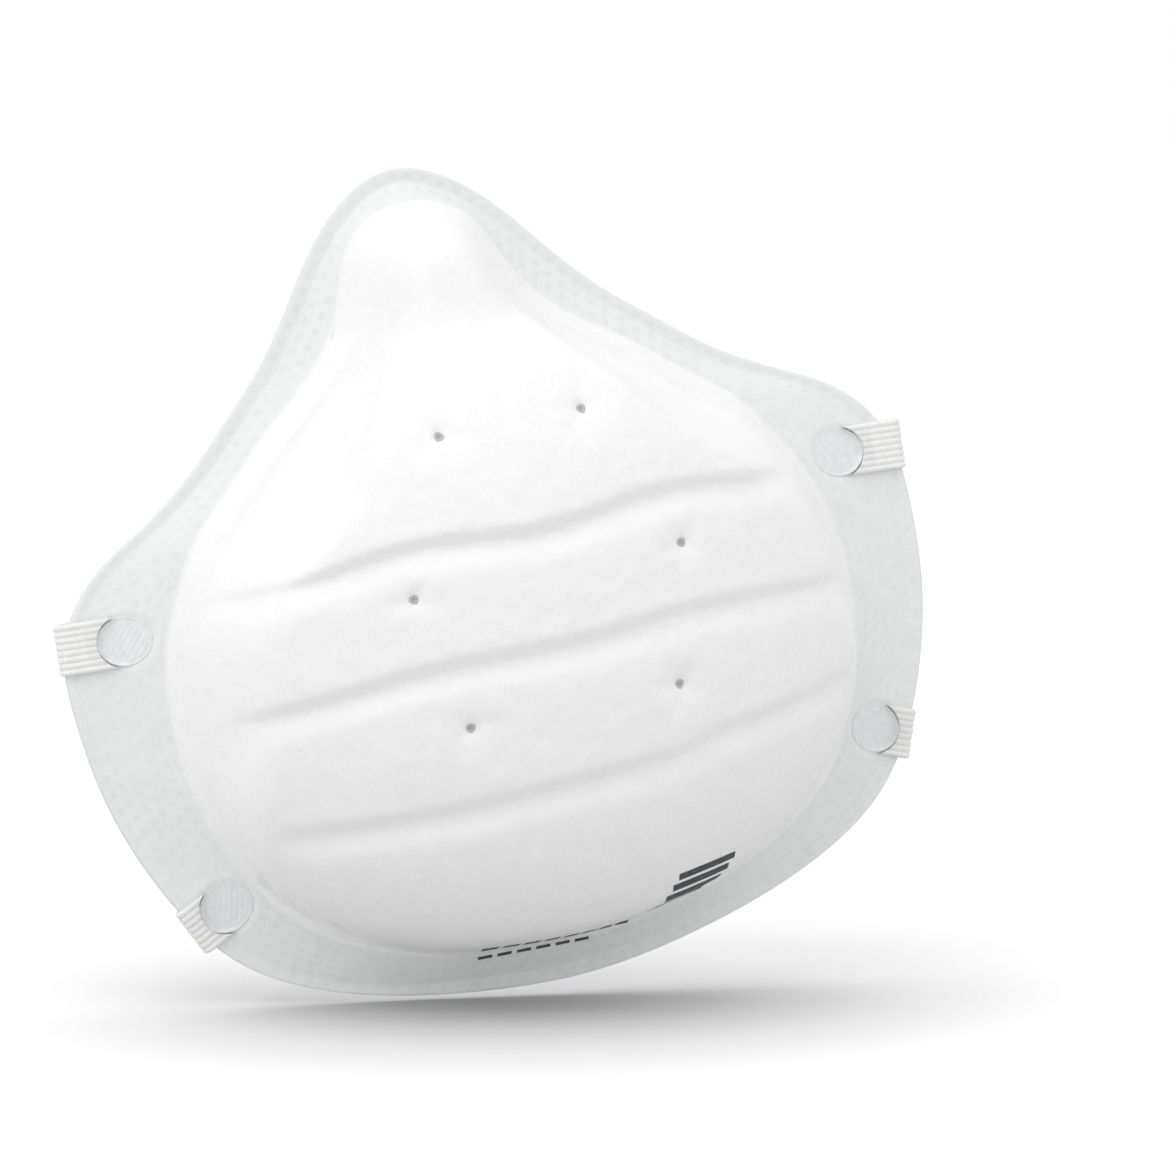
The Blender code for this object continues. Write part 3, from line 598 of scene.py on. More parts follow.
def nonwoven(name, light, dark, flange=None, pressed=None, fibre=1.0, lump=1.0, rough=0.82):
    """A spunbond web: random fibres, cloudy thick and thin places, pressed points."""
    material, sh = new_material(name)
    place = sh.coords()
    clouds = sh.ramp(sh.noise(place, scale=260.0, detail=4.0, rough=0.6), low=0.3, high=0.72)
    fine = sh.ramp(sh.noise(place, scale=1500.0, detail=2.0, rough=0.6), low=0.3, high=0.7)
    tone = sh.calc("ADD", sh.calc("MULTIPLY", clouds, 0.6), sh.calc("MULTIPLY", fine, 0.4))
    colour = sh.mix(tone, dark, light)
    if flange:
        colour = sh.mix(sh.attribute("flange"), colour, sh.mix(tone, *flange))
    roughness = sh.calc("ADD", rough - 0.06, sh.calc("MULTIPLY", fine, 0.12))
    if pressed:
        colour = sh.mix(sh.attribute("pressed"), colour, pressed)
        gloss = sh.calc("MULTIPLY", sh.attribute("pressed"), 0.25)
        roughness = sh.calc("SUBTRACT", roughness, gloss)
    fibres = None
    # three fibre directions: angle in radians, noise scale along x and z
    for angle, scale_x, scale_z in ((0.4, 2600, 420), (1.5, 2300, 380), (2.5, 2800, 460)):
        turned = sh.coords(scale=(scale_x, 900, scale_z), rotation=(0, angle, 0))
        strand = sh.ramp(sh.noise(turned, scale=1.0, detail=1.0, rough=0.5), low=0.50, high=0.64)
        fibres = strand if fibres is None else sh.calc("MAXIMUM", fibres, strand)
    lumps = sh.bump(clouds, strength=0.35 * lump, distance=0.0003)
    sh.surface({
        "Base Color": colour, "Roughness": roughness, "Sheen Weight": 0.12,
        "Sheen Roughness": 0.6, "Specular IOR Level": 0.25,
        "Normal": sh.bump(fibres, strength=0.35 * fibre, distance=0.00006, normal=lumps)})
    return material


# flange: dark and light tone of the web on the flange
COVER = nonwoven("cover_spunbond", light=(0.885, 0.885, 0.88), dark=(0.845, 0.847, 0.845),
                 flange=((0.755, 0.763, 0.763), (0.815, 0.820, 0.820)),
                 pressed=(0.725, 0.734, 0.735))
SHELL = nonwoven("moulded_fibre_shell", light=(0.83, 0.83, 0.82), dark=(0.76, 0.76, 0.75),
                 fibre=1.4, lump=1.5)
FELT = nonwoven("filter_felt", light=(0.87, 0.87, 0.86), dark=(0.80, 0.80, 0.80),
                fibre=1.6, lump=1.8, rough=0.92)
LINER = nonwoven("liner_web", light=(0.90, 0.90, 0.90), dark=(0.86, 0.862, 0.865),
                 flange=((0.80, 0.81, 0.815), (0.86, 0.865, 0.87)),
                 pressed=(0.42, 0.44, 0.46), fibre=0.6)


def fused_material():
    """Melted polypropylene: denser and glossier than the web, slightly grey; the tacks are greyed
    further, partly as fused polymer and partly as painted shade in their pits.
    """
    material, sh = new_material("fused_polypropylene")
    place = sh.coords()
    clouds = sh.ramp(sh.noise(place, scale=900.0, detail=3.0, rough=0.6), low=0.3, high=0.7)
    colour = sh.mix(clouds, (0.72, 0.73, 0.735), (0.79, 0.795, 0.80))
    grain = sh.noise(place, scale=2600.0, detail=2.0)
    # the pit attribute darkens the tacks, half at the border and fully in the hollow middle: partly
    # the greyer fused polymer, partly painted shade in the pit
    sh.surface({
        "Base Color": sh.mix(sh.attribute("pit"), colour, (0.33, 0.34, 0.35)),
        "Roughness": sh.calc("ADD", 0.38, sh.calc("MULTIPLY", clouds, 0.2)),
        "Specular IOR Level": 0.4,
        "Normal": sh.bump(grain, strength=0.25, distance=0.00005)})
    return material


def elastic_material():
    """Flat braided elastic: soft white yarn over rubber cords, with painted shade between the cords.
    """
    material, sh = new_material("braided_elastic")
    along, across = sh.attribute("along"), sh.attribute("across")
    place = sh.node("ShaderNodeCombineXYZ", "Vector", {"X": along, "Y": across})
    slant, yarn_pitch = 0.55, 0.62      # two sets of yarn, slanting opposite ways
    yarns = []
    for way in ("ADD", "SUBTRACT"):
        line = sh.calc(way, along, sh.calc("MULTIPLY", across, slant))
        yarns.append(sh.calc("SINE", sh.calc("MULTIPLY", line, 2 * math.pi / yarn_pitch)))
    weave = sh.calc("MULTIPLY_ADD", sh.calc("MAXIMUM", *yarns), 0.5, 0.5)
    mottle = sh.ramp(sh.noise(place, scale=1.3, detail=3.0, rough=0.5), low=0.3, high=0.7)
    tone = sh.calc("ADD", sh.calc("MULTIPLY", weave, 0.5), sh.calc("MULTIPLY", mottle, 0.5))
    colour = sh.mix(tone, (0.80, 0.80, 0.79), (0.90, 0.90, 0.89))
    # the darker grey between the cords is painted shade
    sh.surface({
        "Base Color": sh.mix(sh.attribute("cord_gap_shade"), colour, (0.66, 0.665, 0.66)),
        "Roughness": 0.78, "Sheen Weight": 0.2, "Specular IOR Level": 0.25,
        "Normal": sh.bump(weave, strength=0.5, distance=0.00012)})
    return material


def ink_material():
    """Matt grey-black printing ink, a little broken by the web under it."""
    material, sh = new_material("printing_ink")
    worn = sh.ramp(sh.noise(sh.coords(), scale=1400.0, detail=3.0, rough=0.7), low=0.35, high=0.8)
    sh.surface({
        "Base Color": sh.mix(worn, (0.035, 0.037, 0.04), (0.10, 0.105, 0.11)),
        "Roughness": 0.7, "Normal": sh.bump(worn, strength=0.3, distance=0.00005)})
    return material


FUSED, ELASTIC, INK = fused_material(), elastic_material(), ink_material()


# ---- outer cover
def cover_front(grid, y):
    """The cover's front with soft lumps, ripples and pressed points, and the pressing."""
    x, z, cup, gap = grid.x, grid.z, grid.cup, grid.edge_gap
    small = cloud(x, z, scale=2.2, seed=7.7, octaves=2)
    ripple = cloud(x * 2.6, z * 0.7, scale=5.0, seed=12.3, octaves=2)
    y = y + np.where(cup, rise(1.0, 8.0, inward(x, z)), 0.0) * (
        0.18 * cloud(x, z, scale=9.0, seed=3.1, octaves=3) + 0.085 * small
        + 0.08 * ripple * rise(5.0, 25.0, np.abs(x)))
    oval = oval_distance(x, z)
    marks = emboss_front(grid) * rise(1.15, 1.4, oval)
    # the marks are pressed unevenly
    marks = marks * (0.45 + 0.55 * rise(-0.25, 0.35, cloud(x, z, scale=14.0, seed=55.0, octaves=2)))
    wave = cloud(x, z, scale=16.0, seed=21.0, octaves=2)
    y += np.where(cup, 0.0, 0.07 * marks + 0.04 * small + 0.10 * wave * rise(1.0, 5.0, gap))
    # the strap welds press the flange in, with a small swelling round them
    y += np.where(cup, 0.0, 0.30 * fall(0.98, 1.12, oval) - 0.10 * bell(oval - 1.22, 0.1))
    # rounded cut edge
    y += np.where(cup, 0.0, 0.14 * fall(0.0, 0.45, gap))
    return y, np.where(cup, 0.0, marks)


def seam(grid):
    """1 at the cut edge, where a sheet closes onto the middle of the flange."""
    return np.where(grid.cup, 0.0, fall(0.4, 1.3, grid.edge_gap))


def flange_share(grid):
    return np.where(grid.cup, 0.0, rise(0.0, 0.8, grid.width - grid.edge_gap))


def cover_back(grid):
    """The hidden back of the cover, set back at the tack welds and near the foot."""
    core = near_tacks(grid.x, grid.z, 1.5)
    y = sheet_faces(grid)[1] + 1.3 * np.where(grid.cup, core, 0.0)
    y = y + np.where(grid.cup, 0.6 * bell(inward(grid.x, grid.z) - 1.2, 2.0), 0.0)
    return y + seam(grid) * (0.5 * FLANGE_STACK - FLANGE_FACES[1])


fine = lay_grid(200, 168, 26)
coarse = lay_grid(100, 84, 13)
front_y, pressed = cover_front(fine, sheet_faces(fine)[0])
cover = closed_sheet("cover_web", fine, front_y, coarse, cover_back(coarse), COVER)
set_attribute(cover, "flange", flange_share(fine), rest=1.0)
set_attribute(cover, "pressed", pressed)
fit(cover, "outer_cover_web")


# ---- hidden sheets
SEAM_INSET = 1.6          # the hidden sheets end this far short of the cut edge


def short_of_edge(grid):
    """The grid with its flange drawn in from the cut edge."""
    points, rim = grid.points.copy(), ~grid.cup
    lines, width = outline(grid.arc[rim]), grid.width[rim]
    share = np.clip((width - grid.edge_gap[rim]) / np.maximum(width, 0.1), 0, 1)
    share = share * (1 - SEAM_INSET / np.maximum(width, 2.0))
    points[rim] = lines[:, 2:] + (lines[:, :2] - lines[:, 2:]) * share[:, None]
    return replace(grid, points=points)


fine, coarse = lay_grid(112, 96, 8), lay_grid(56, 48, 4)
fine_faces, coarse_faces = sheet_faces(fine), sheet_faces(coarse)
fine_short, coarse_short = short_of_edge(fine), short_of_edge(coarse)

# the stiffener's front is set back from the cover, more near the foot and the tacks
depth = inward(fine.x, fine.z)
near_foot = fall(2.0, 5.0, depth) * rise(0.3, 2.2, depth)
front_y = fine_faces[2] + fine.cup * (0.22 + near_foot + 0.45 * near_tacks(fine.x, fine.z, 2.4))
stiffener = closed_sheet("moulded_shell", fine_short, front_y,
                         coarse_short, coarse_faces[3] + coarse.cup * 0.02, SHELL)
fit(stiffener, "stiffener_shell")

# the felt's back is drawn forward from the liner, more at the tacks and on the wall
depth = inward(coarse.x, coarse.z)
on_wall = (fall(4.0, 9.0, depth) * rise(0.3, 2.2, depth)
           * (slope_factor(coarse.x, coarse.z) - 1) / 1.6)
back_y = coarse_faces[5] + coarse.cup * (
    -0.25 - (0.5 * near_tacks(coarse.x, coarse.z, 2.4) + 3.0 * on_wall))
felt = closed_sheet("filter_felt", fine_short, fine_faces[4] + fine.cup * -0.02,
                    coarse_short, back_y, FELT)
fit(felt, "filter_media")

# ---- inner liner
DRAPE_SCALE = 10.0        # simulated ten times larger, where the solver behaves
DRAPE_FRAMES = 26
DRAPE_LIMIT = 3.2         # longest move the drape may make


def drape(grid, y):
    """How the liner moves as loose cloth, held at the cup foot and the tack welds."""
    size = grid.patch_size
    x, z = grid.x[:size], grid.z[:size]
    pinned = np.zeros(size, bool)
    pinned[grid.foot] = True
    for tack_x, tack_z in TACKS.values():
        away = np.hypot(x - tack_x, z - tack_z)
        pinned |= away < 1.6
        pinned[int(away.argmin())] = True
    quads = grid.faces[: (grid.shape[0] - 1) * (grid.shape[1] - 1)]
    start = np.stack([x, y[:size], z], 1) * MM * DRAPE_SCALE
    mesh = bpy.data.meshes.new("drape")
    mesh.from_pydata([tuple(v) for v in start], [], [tuple(int(i) for i in q) for q in quads])
    ob = bpy.data.objects.new("drape", mesh)
    scene = bpy.context.scene
    scene.collection.objects.link(ob)
    group = ob.vertex_groups.new(name="pin")
    group.add([int(i) for i in np.where(pinned)[0]], 1.0, "REPLACE")
    cloth = ob.modifiers.new("cloth", "CLOTH")
    settings = cloth.settings
    settings.quality = 6
    settings.mass = 0.15
    settings.tension_stiffness = settings.compression_stiffness = 12.0
    settings.shear_stiffness = 6.0
    settings.bending_stiffness = 0.35
    settings.air_damping = 2.0
    settings.vertex_group_mass = "pin"
    settings.shrink_min = -0.045
    settings.use_pressure = True
    settings.uniform_pressure_force = 0.35
    settings.effector_weights.gravity = 0.15
    cloth.collision_settings.use_collision = False
    cloth.collision_settings.use_self_collision = False
    cloth.point_cache.frame_start, cloth.point_cache.frame_end = 1, DRAPE_FRAMES
    for frame in range(1, DRAPE_FRAMES + 1):
        scene.frame_set(frame)
    graph = bpy.context.evaluated_depsgraph_get()
    draped = ob.evaluated_get(graph).to_mesh()
    end = np.array([v.co[:] for v in draped.vertices])
    scene.frame_set(1)
    bpy.data.objects.remove(ob, do_unlink=True)
    move = (end - start) / (MM * DRAPE_SCALE)
    if not np.isfinite(move).all():     # the solver may blow up
        move[:] = 0
    distance = np.linalg.norm(move, axis=1, keepdims=True)
    move = move * np.minimum(1.0, DRAPE_LIMIT / np.maximum(distance, 1e-6))
    return move.reshape(grid.shape + (3,))


def refine(field, factor):
    """Cubic refinement of a field of vectors by a whole factor in both directions."""
    def along(values):
        count = len(values)
        at = np.arange((count - 1) * factor + 1) / factor
        low = np.minimum(at.astype(int), count - 2)
        weights = cubic_weights((at - low)[:, None, None])
        return sum(values[np.clip(low + k - 1, 0, count - 1)] * weight
                   for k, weight in enumerate(weights))
    return np.swapaxes(along(np.swapaxes(along(field), 0, 1)), 0, 1)


def creases(x, z):
    """Soft creases that run out from the tack welds."""
    crease = np.zeros(len(x))
    for tack_x, tack_z in TACKS.values():
        dx, dz = x - tack_x, z - tack_z
        away = np.hypot(dx, dz)
        angle = np.arctan2(dz, dx * np.sign(tack_x))
        for ray, centre in enumerate((-0.25, 0.55, 2.6, -2.2)):
            off = np.angle(np.exp(1j * (angle - centre - 0.15 * np.sin(away / 6.0 + ray))))
            crease += (0.55 * bell(off * np.maximum(away, 1.5), 1.7)
                       * rise(0.8, 3.0, away) * fall(9.0, 19.0, away))
    return crease


def liner_back(grid):
    """The liner's face side: the draped grid, its y and the pressing of the flange."""
    y = sheet_faces(grid)[7].copy()
    size = grid.patch_size
    loose = lay_grid(66, 56, 2)
    move = refine(drape(loose, sheet_faces(loose)[7]), 3).reshape(-1, 3)
    hold = rise(0.0, 3.0, inward(grid.x[:size], grid.z[:size]))
    points = grid.points.copy()
    points[:size, 0] += move[:, 0] * hold * 0.5
    points[:size, 1] += move[:, 2] * hold * 0.5
    y[:size] += move[:, 1] * hold
    grid = replace(grid, points=points)
    x, z, gap, cup = grid.x, grid.z, grid.edge_gap, grid.cup
    depth = inward(x, z)
    # away from the welds the web bags a little towards the face
    near_weld = near_tacks(x, z, 3.0)
    bag = rise(3.0, 13.0, depth) * (1 - near_weld)
    y += np.where(cup, bag * (1.5 + 0.8 * cloud(x, z, scale=11.0, seed=33.0, octaves=3))
                  + 0.05 * rise(2.0, 8.0, depth) * cloud(x, z, scale=2.5, seed=41.0, octaves=2)
                  - 1.6 * creases(x, z) * rise(2.0, 9.0, depth), 0.0)
    # never in front of the felt
    least = sheet_faces(grid)[5] + 0.25 + 0.40 * rise(0.3, 2.5, depth) * (1 - 0.8 * near_weld)
    y[:size] = np.maximum(y, least)[:size]
    oval = oval_distance(x, z)
    marks = np.where(cup, 0.0, emboss_back(grid) * rise(1.15, 1.4, oval) * rise(0.4, 1.0, gap))
    y -= 0.16 * marks
    y -= np.where(cup, 0.0, 0.20 * fall(0.0, 0.45, gap))
    y -= np.where(cup, 0.0, 0.22 * fall(0.98, 1.12, oval))
    return grid, y, marks


def liner_front(grid):
    """The hidden front of the liner, close behind the felt."""
    faces = sheet_faces(grid)
    core = near_tacks(grid.x, grid.z, 1.5)
    y = np.where(grid.cup, faces[5] + 0.05 - 0.7 * core, faces[6])
    return y - seam(grid) * (FLANGE_FACES[6] - 0.5 * FLANGE_STACK - 0.02)


fine, back_y, pressed = liner_back(lay_grid(198, 168, 24))
coarse = lay_grid(99, 84, 12)
liner = closed_sheet("liner_web", fine, back_y, coarse, liner_front(coarse), LINER,
                     fine_in_front=False)
set_attribute(liner, "flange", flange_share(fine))
set_attribute(liner, "pressed", pressed)
fit(liner, "inner_liner")


# ---- lookups on the finished webs
def tree(ob):
    bm = bmesh.new()
    bm.from_mesh(ob.data)
    made = BVHTree.FromBMesh(bm)
    bm.free()
    return made


COVER_TREE, LINER_TREE = tree(cover), tree(liner)


def cover_y(x, z):
    """y of the cover's front."""
    hit = COVER_TREE.ray_cast(Vector((x * MM, -0.2, z * MM)), Vector((0, 1, 0)))[0]
    return hit.y / MM if hit else RIM_FRONT_Y


def liner_y(x, z):
    """y of the liner's back."""
    hit = LINER_TREE.ray_cast(Vector((x * MM, 0.2, z * MM)), Vector((0, -1, 0)))[0]
    return hit.y / MM if hit else RIM_BACK_Y


# ---- welds
def spoke_faces(k, rings, spokes):
    """Faces between spoke k and the next of a disc whose centre is vertex 0."""
    n = (k + 1) % spokes
    faces = [(0, 1 + k, 1 + n)]
    for i in range(1, rings):
        a, b = 1 + (i - 1) * spokes, 1 + i * spokes
        faces.append((a + k, b + k, b + n, a + n))
    return faces


def tack(name, centre_x, centre_z, seed):
    """A crater of melted web on the front, joined to its like on the liner."""
    rings, spokes = 9, 32
    verts, pit = [], []
    for web_y, way in ((cover_y, -1), (liner_y, 1)):
        for i in range(rings + 1):
            f = i / rings
            for k in range(spokes if i else 1):
                a = 2 * math.pi * k / spokes
                wobble = 1 + 0.07 * math.sin(3 * a + seed) + 0.04 * math.sin(7 * a + 2 * seed)
                x = centre_x + TACK_RADIUS * f * wobble * math.cos(a)
                z = centre_z + TACK_RADIUS * f * wobble * math.sin(a)
                # proud of the web, sunk at the border and hollow in the middle
                lift = 0.18 - 0.30 * max(0.0, f - 0.7) / 0.3
                lift -= 0.06 * bell(f, 0.35) + 0.05 * math.cos(5 * a + seed) * f * (1 - f)
                verts.append((x * MM, (web_y(x, z) + way * lift) * MM, z * MM))
                # how much the tack is greyed: fused polymer at the border, plus painted shade toward
                # the hollow middle
                pit.append(1.0 - 0.5 * f)
    size = 1 + rings * spokes
    faces = []
    for k in range(spokes):
        faces += spoke_faces(k, rings, spokes)
    faces += [tuple(size + i for i in f[::-1]) for f in faces]
    last = size - spokes
    for k in range(spokes):
        n = (k + 1) % spokes
        faces.append((last + k, size + last + k, size + last + n, last + n))
    ob = mesh_from(name, verts, faces, FUSED)
    set_attribute(ob, "pit", pit)
    return ob


for place, (x, z) in TACKS.items():
    fit(tack(f"tack_{place}", x, z, seed=2.0 * x), f"tack_weld_{place}")


def strap_weld(name, centre, degrees, side, seed):
    """An oval pad: fine pressed lines, and a lip of squeezed-out polymer on the band's side."""
    c, s = math.cos(math.radians(degrees)), math.sin(math.radians(degrees))
    rings, spokes, under = 30, 96, 0.6

    def web_point(u, v):
        x, z = side * (centre[0] + u * c - v * s), centre[1] + u * s + v * c
        return x, cover_y(x, z), z

    def vertex(r, a, buried=False):
        u, v = WELD_LONG * r * math.cos(a), WELD_WIDE * r * math.sin(a)
        x, y, z = web_point(u, v)
        if buried:
            return x * MM, (y + under) * MM, z * MM
        lines = 0.5 + 0.5 * math.sin(2 * math.pi * (0.80 * u + 0.60 * v) / 0.86)
        height = 0.07 + 0.09 * lines * fall(0.80, 0.90, r)
        height += 0.12 * bell(r - 0.94, 0.045)
        band = rise(-0.15, 0.55, math.cos(a + 0.15))
        height += 0.62 * band * bell(r - 0.955, 0.07) * (1 + 0.12 * math.sin(5 * a + seed))
        height += 0.03 * math.sin(9 * a + seed) * r * r
        height -= (0.45 + 0.5 * band) * rise(0.965, 1.0, r)
        return x * MM, (y - height) * MM, z * MM

    angles = [2 * math.pi * k / spokes for k in range(spokes)]
    verts = [vertex(0.0, 0.0)]
    for i in range(1, rings + 1):
        verts += [vertex((i / rings) ** 0.85, a) for a in angles]
    base = len(verts)
    last = base - spokes
    verts += [vertex(1.0, a, buried=True) for a in angles]
    verts.append(vertex(0.0, 0.0, buried=True))
    faces = []
    for k in range(spokes):
        n = (k + 1) % spokes
        faces += spoke_faces(k, rings, spokes)
        faces.append((last + k, base + k, base + n, last + n))
        faces.append((base + n, base + k, base + spokes))
    if side < 0:
        faces = [f[::-1] for f in faces]
    ob = mesh_from(name, verts, faces, FUSED)
    set_attribute(ob, "pit", [])
    return ob


SIDES = (("left", -1), ("right", 1))
for level, centre, degrees, askew, _ in BANDS:
    for side, sign in SIDES:
        weld = strap_weld(f"strap_weld_{level}_{side}", centre, degrees - sign * askew, sign,
                          seed=centre[0] + sign)
        fit(weld, f"{level}_band_weld_{side}")

# ---- headbands
EDGE_LINE = outline(np.linspace(0, LENGTH, 1440, endpoint=False))[:, :2]
SEAM_Y = 14.2             # the strap ends stop and the loop starts behind this y
HUG_LENGTH = 6.2          # the cords even out over this length from the weld


def rim_reach(start_x, start_z, dir_x, dir_z, half_w):
    """Longest distance over the band's width from a point along a direction to the cut edge."""
    best = 0.0
    for w in np.linspace(-half_w, half_w, 5):
        offset = EDGE_LINE - np.array([start_x - dir_z * w, start_z + dir_x * w])
        along = offset @ np.array([dir_x, dir_z])
        across = offset @ np.array([-dir_z, dir_x])
        after, along_after = np.roll(across, -1), np.roll(along, -1)
        crosses = (across * after <= 0) & (along > 0) & (np.abs(across - after) < 3)
        for i in np.where(crosses)[0]:
            t = across[i] / (across[i] - after[i] + 1e-12)
            best = max(best, along[i] + (along_after[i] - along[i]) * t)
    return best


def band_line(centre, degrees, crown_y):
    """Right half of a band's centre line, from weld to crown, with its width direction."""
    c, s = math.cos(math.radians(degrees)), math.sin(math.radians(degrees))
    along, wide = np.array([c, 0, s]), np.array([-s, 0, c])
    origin = np.array([centre[0], 0, centre[1]])
    reach = rim_reach(centre[0], centre[1], c, s, BAND_W / 2 + 0.2)
    lift = 0.06 + BAND_T / 2
    points, widths = [], []
    # flat on the flange
    for d in np.linspace(0.0, reach - RIM_LAND_W - 0.4, 9):
        p = origin + along * d
        ends = [p + wide * w for w in (-3.6, 0.0, 3.6)]
        ys = [cover_y(q[0], q[2]) for q in ends]
        tilt = ends[2] - ends[0] + np.array([0, ys[2] - ys[0], 0])
        points.append(p + np.array([0, (ys[0] + ys[1] + ys[2]) / 3 - lift, 0]))
        widths.append(tilt / np.linalg.norm(tilt))
    # round the cut edge
    turn = FLANGE_STACK / 2 + lift + 0.15
    mid_y = RIM_BACK_Y - FLANGE_STACK / 2
    hub = reach - 0.8
    points.append(origin + along * (hub - 1.1) + np.array([0, mid_y - turn + 0.05, 0]))
    widths.append(wide)
    for a in (-80, -60, -40, -20, 0, 12):
        ca, sa = math.cos(math.radians(a)), math.sin(math.radians(a))
        points.append(origin + along * (hub + turn * 0.72 * ca) + np.array([0, mid_y + turn * sa, 0]))
        widths.append(wide)
    # a Bezier arm back to the crown
    crown = np.array([0.0, crown_y, centre[1]])
    start = points[-1]
    heading = along * -0.34 + np.array([0, 0.94, 0])
    heading /= np.linalg.norm(heading)
    pull_out = start + heading * (crown[1] - start[1]) * 0.78
    pull_in = np.array([0.58 * start[0], crown[1], crown[2]])
    for t in np.linspace(0, 1, 41)[1:]:
        q = ((1 - t) ** 3 * start + 3 * (1 - t) ** 2 * t * pull_out
             + 3 * (1 - t) * t * t * pull_in + t**3 * crown)
        upright = float(rise(0.0, 0.8, 1 - min(max(q[0] / start[0], 0.0), 1.0)))
        w = wide * (1 - upright) + np.array([0, 0, 1.0]) * upright
        points.append(q)
        widths.append(w / np.linalg.norm(w))
    return np.array(points), np.array(widths)


def smooth_line(rows, spacing):
    """A Catmull-Rom line through rows (x, y, z, ...) with even steps, and its lengths."""
    padded = np.vstack([2 * rows[:1] - rows[1:2], rows, 2 * rows[-1:] - rows[-2:-1]])
    t = np.linspace(0, 1, 12, endpoint=False)[:, None]
    out = []
    for a, b, c, d in zip(padded, padded[1:], padded[2:], padded[3:]):
        out.append(0.5 * (2 * b + (c - a) * t + (2 * a - 5 * b + 4 * c - d) * t**2
                          + (3 * b - a - 3 * c + d) * t**3))
    out = np.vstack(out + [rows[-1:]])
    steps = np.linalg.norm(np.diff(out[:, :3], axis=0), axis=1)
    length = np.concatenate([[0], np.cumsum(steps)])
    even = np.linspace(0, length[-1], max(2, int(round(length[-1] / spacing))) + 1)
    return np.stack([np.interp(even, length, column) for column in out.T], 1), even


def section():
    """Closed outline of the elastic: across, half thickness, and how much painted shade lies between
    the cords.
    """
    f = np.arange(CORDS * 6 + 1) / (CORDS * 6)
    cord = np.abs(np.sin(math.pi * f * CORDS))
    edge = np.minimum(1.0, 1.25 * np.sqrt(np.maximum(0.0, 1 - (2 * f - 1) ** 12)))
    across = f * BAND_W - BAND_W / 2
    height = BAND_T / 2 * (0.60 + 0.40 * cord**0.7) * edge + 0.02
    # painted shade between the cords, strongest midway between them
    cord_gap_shade = 0.6 * (1 - cord) ** 2
    return (np.concatenate([across, across[::-1]]), np.concatenate([height, -height[::-1]]),
            np.concatenate([cord_gap_shade, cord_gap_shade[::-1]]))


SECTION_W, SECTION_H, SECTION_CORD_SHADE = section()


def oval_start(w):
    """Where the cord at w across the band leaves the oval weld."""
    return WELD_LONG * math.sqrt(max(0.0, 1 - (w / (WELD_WIDE + 0.25)) ** 2)) * 0.985


def band_mesh(name, line, widths, lengths, hug_weld=False):
    """Skin of a flat elastic. With hug_weld the cords start round the oval weld."""
    tangent = np.gradient(line, axis=0)
    tangent /= np.linalg.norm(tangent, axis=1, keepdims=True)
    wide = widths - tangent * (widths * tangent).sum(1, keepdims=True)
    wide /= np.linalg.norm(wide, axis=1, keepdims=True)
    normal = np.cross(tangent, wide)
    count, around = len(line), len(SECTION_W)
    verts = np.zeros((count, around, 3))
    for j, (w, h) in enumerate(zip(SECTION_W, SECTION_H)):
        lines = (line, wide, normal)
        if hug_weld:
            start = oval_start(w)
            at = np.where(lengths < HUG_LENGTH,
                          start + (HUG_LENGTH - start) * lengths / HUG_LENGTH, lengths)
            lines = [np.stack([np.interp(at, lengths, column) for column in rows.T], 1)
                     for rows in lines]
        base, wide_j, normal_j = lines
        cord = round((w / BAND_W + 0.5) * CORDS)
        knit = 1 + 0.05 * np.sin(2 * math.pi * lengths / 0.9 + 2.2 * cord)
        verts[:, j] = base + wide_j * w + normal_j * (h * knit)[:, None]
    index = np.arange(count * around).reshape(count, around)
    a, b = index[:-1], index[1:]
    quads = np.stack([a, np.roll(a, -1, 1), np.roll(b, -1, 1), b], -1)
    faces = list(quads.reshape(-1, 4))
    for row, flip in ((index[0], False), (index[-1], True)):
        for i in range(around // 2 - 1):
            f = (row[i], row[around - 1 - i], row[around - 2 - i], row[i + 1])
            faces.append(f[::-1] if flip else f)
    ob = mesh_from(name, verts.reshape(-1, 3) * MM, faces, ELASTIC)
    set_attribute(ob, "along", np.repeat(lengths, around))
    set_attribute(ob, "across", np.tile(SECTION_W, count))
    set_attribute(ob, "cord_gap_shade", np.tile(SECTION_CORD_SHADE, count))
    make_outward(ob)
    return ob


def make_outward(ob):
    bm = bmesh.new()
    bm.from_mesh(ob.data)
    bmesh.ops.recalc_face_normals(bm, faces=bm.faces)
    if bm.calc_volume(signed=True) < 0:
        bmesh.ops.reverse_faces(bm, faces=bm.faces)
    bm.to_mesh(ob.data)
    bm.free()
    ob.data.shade_smooth()


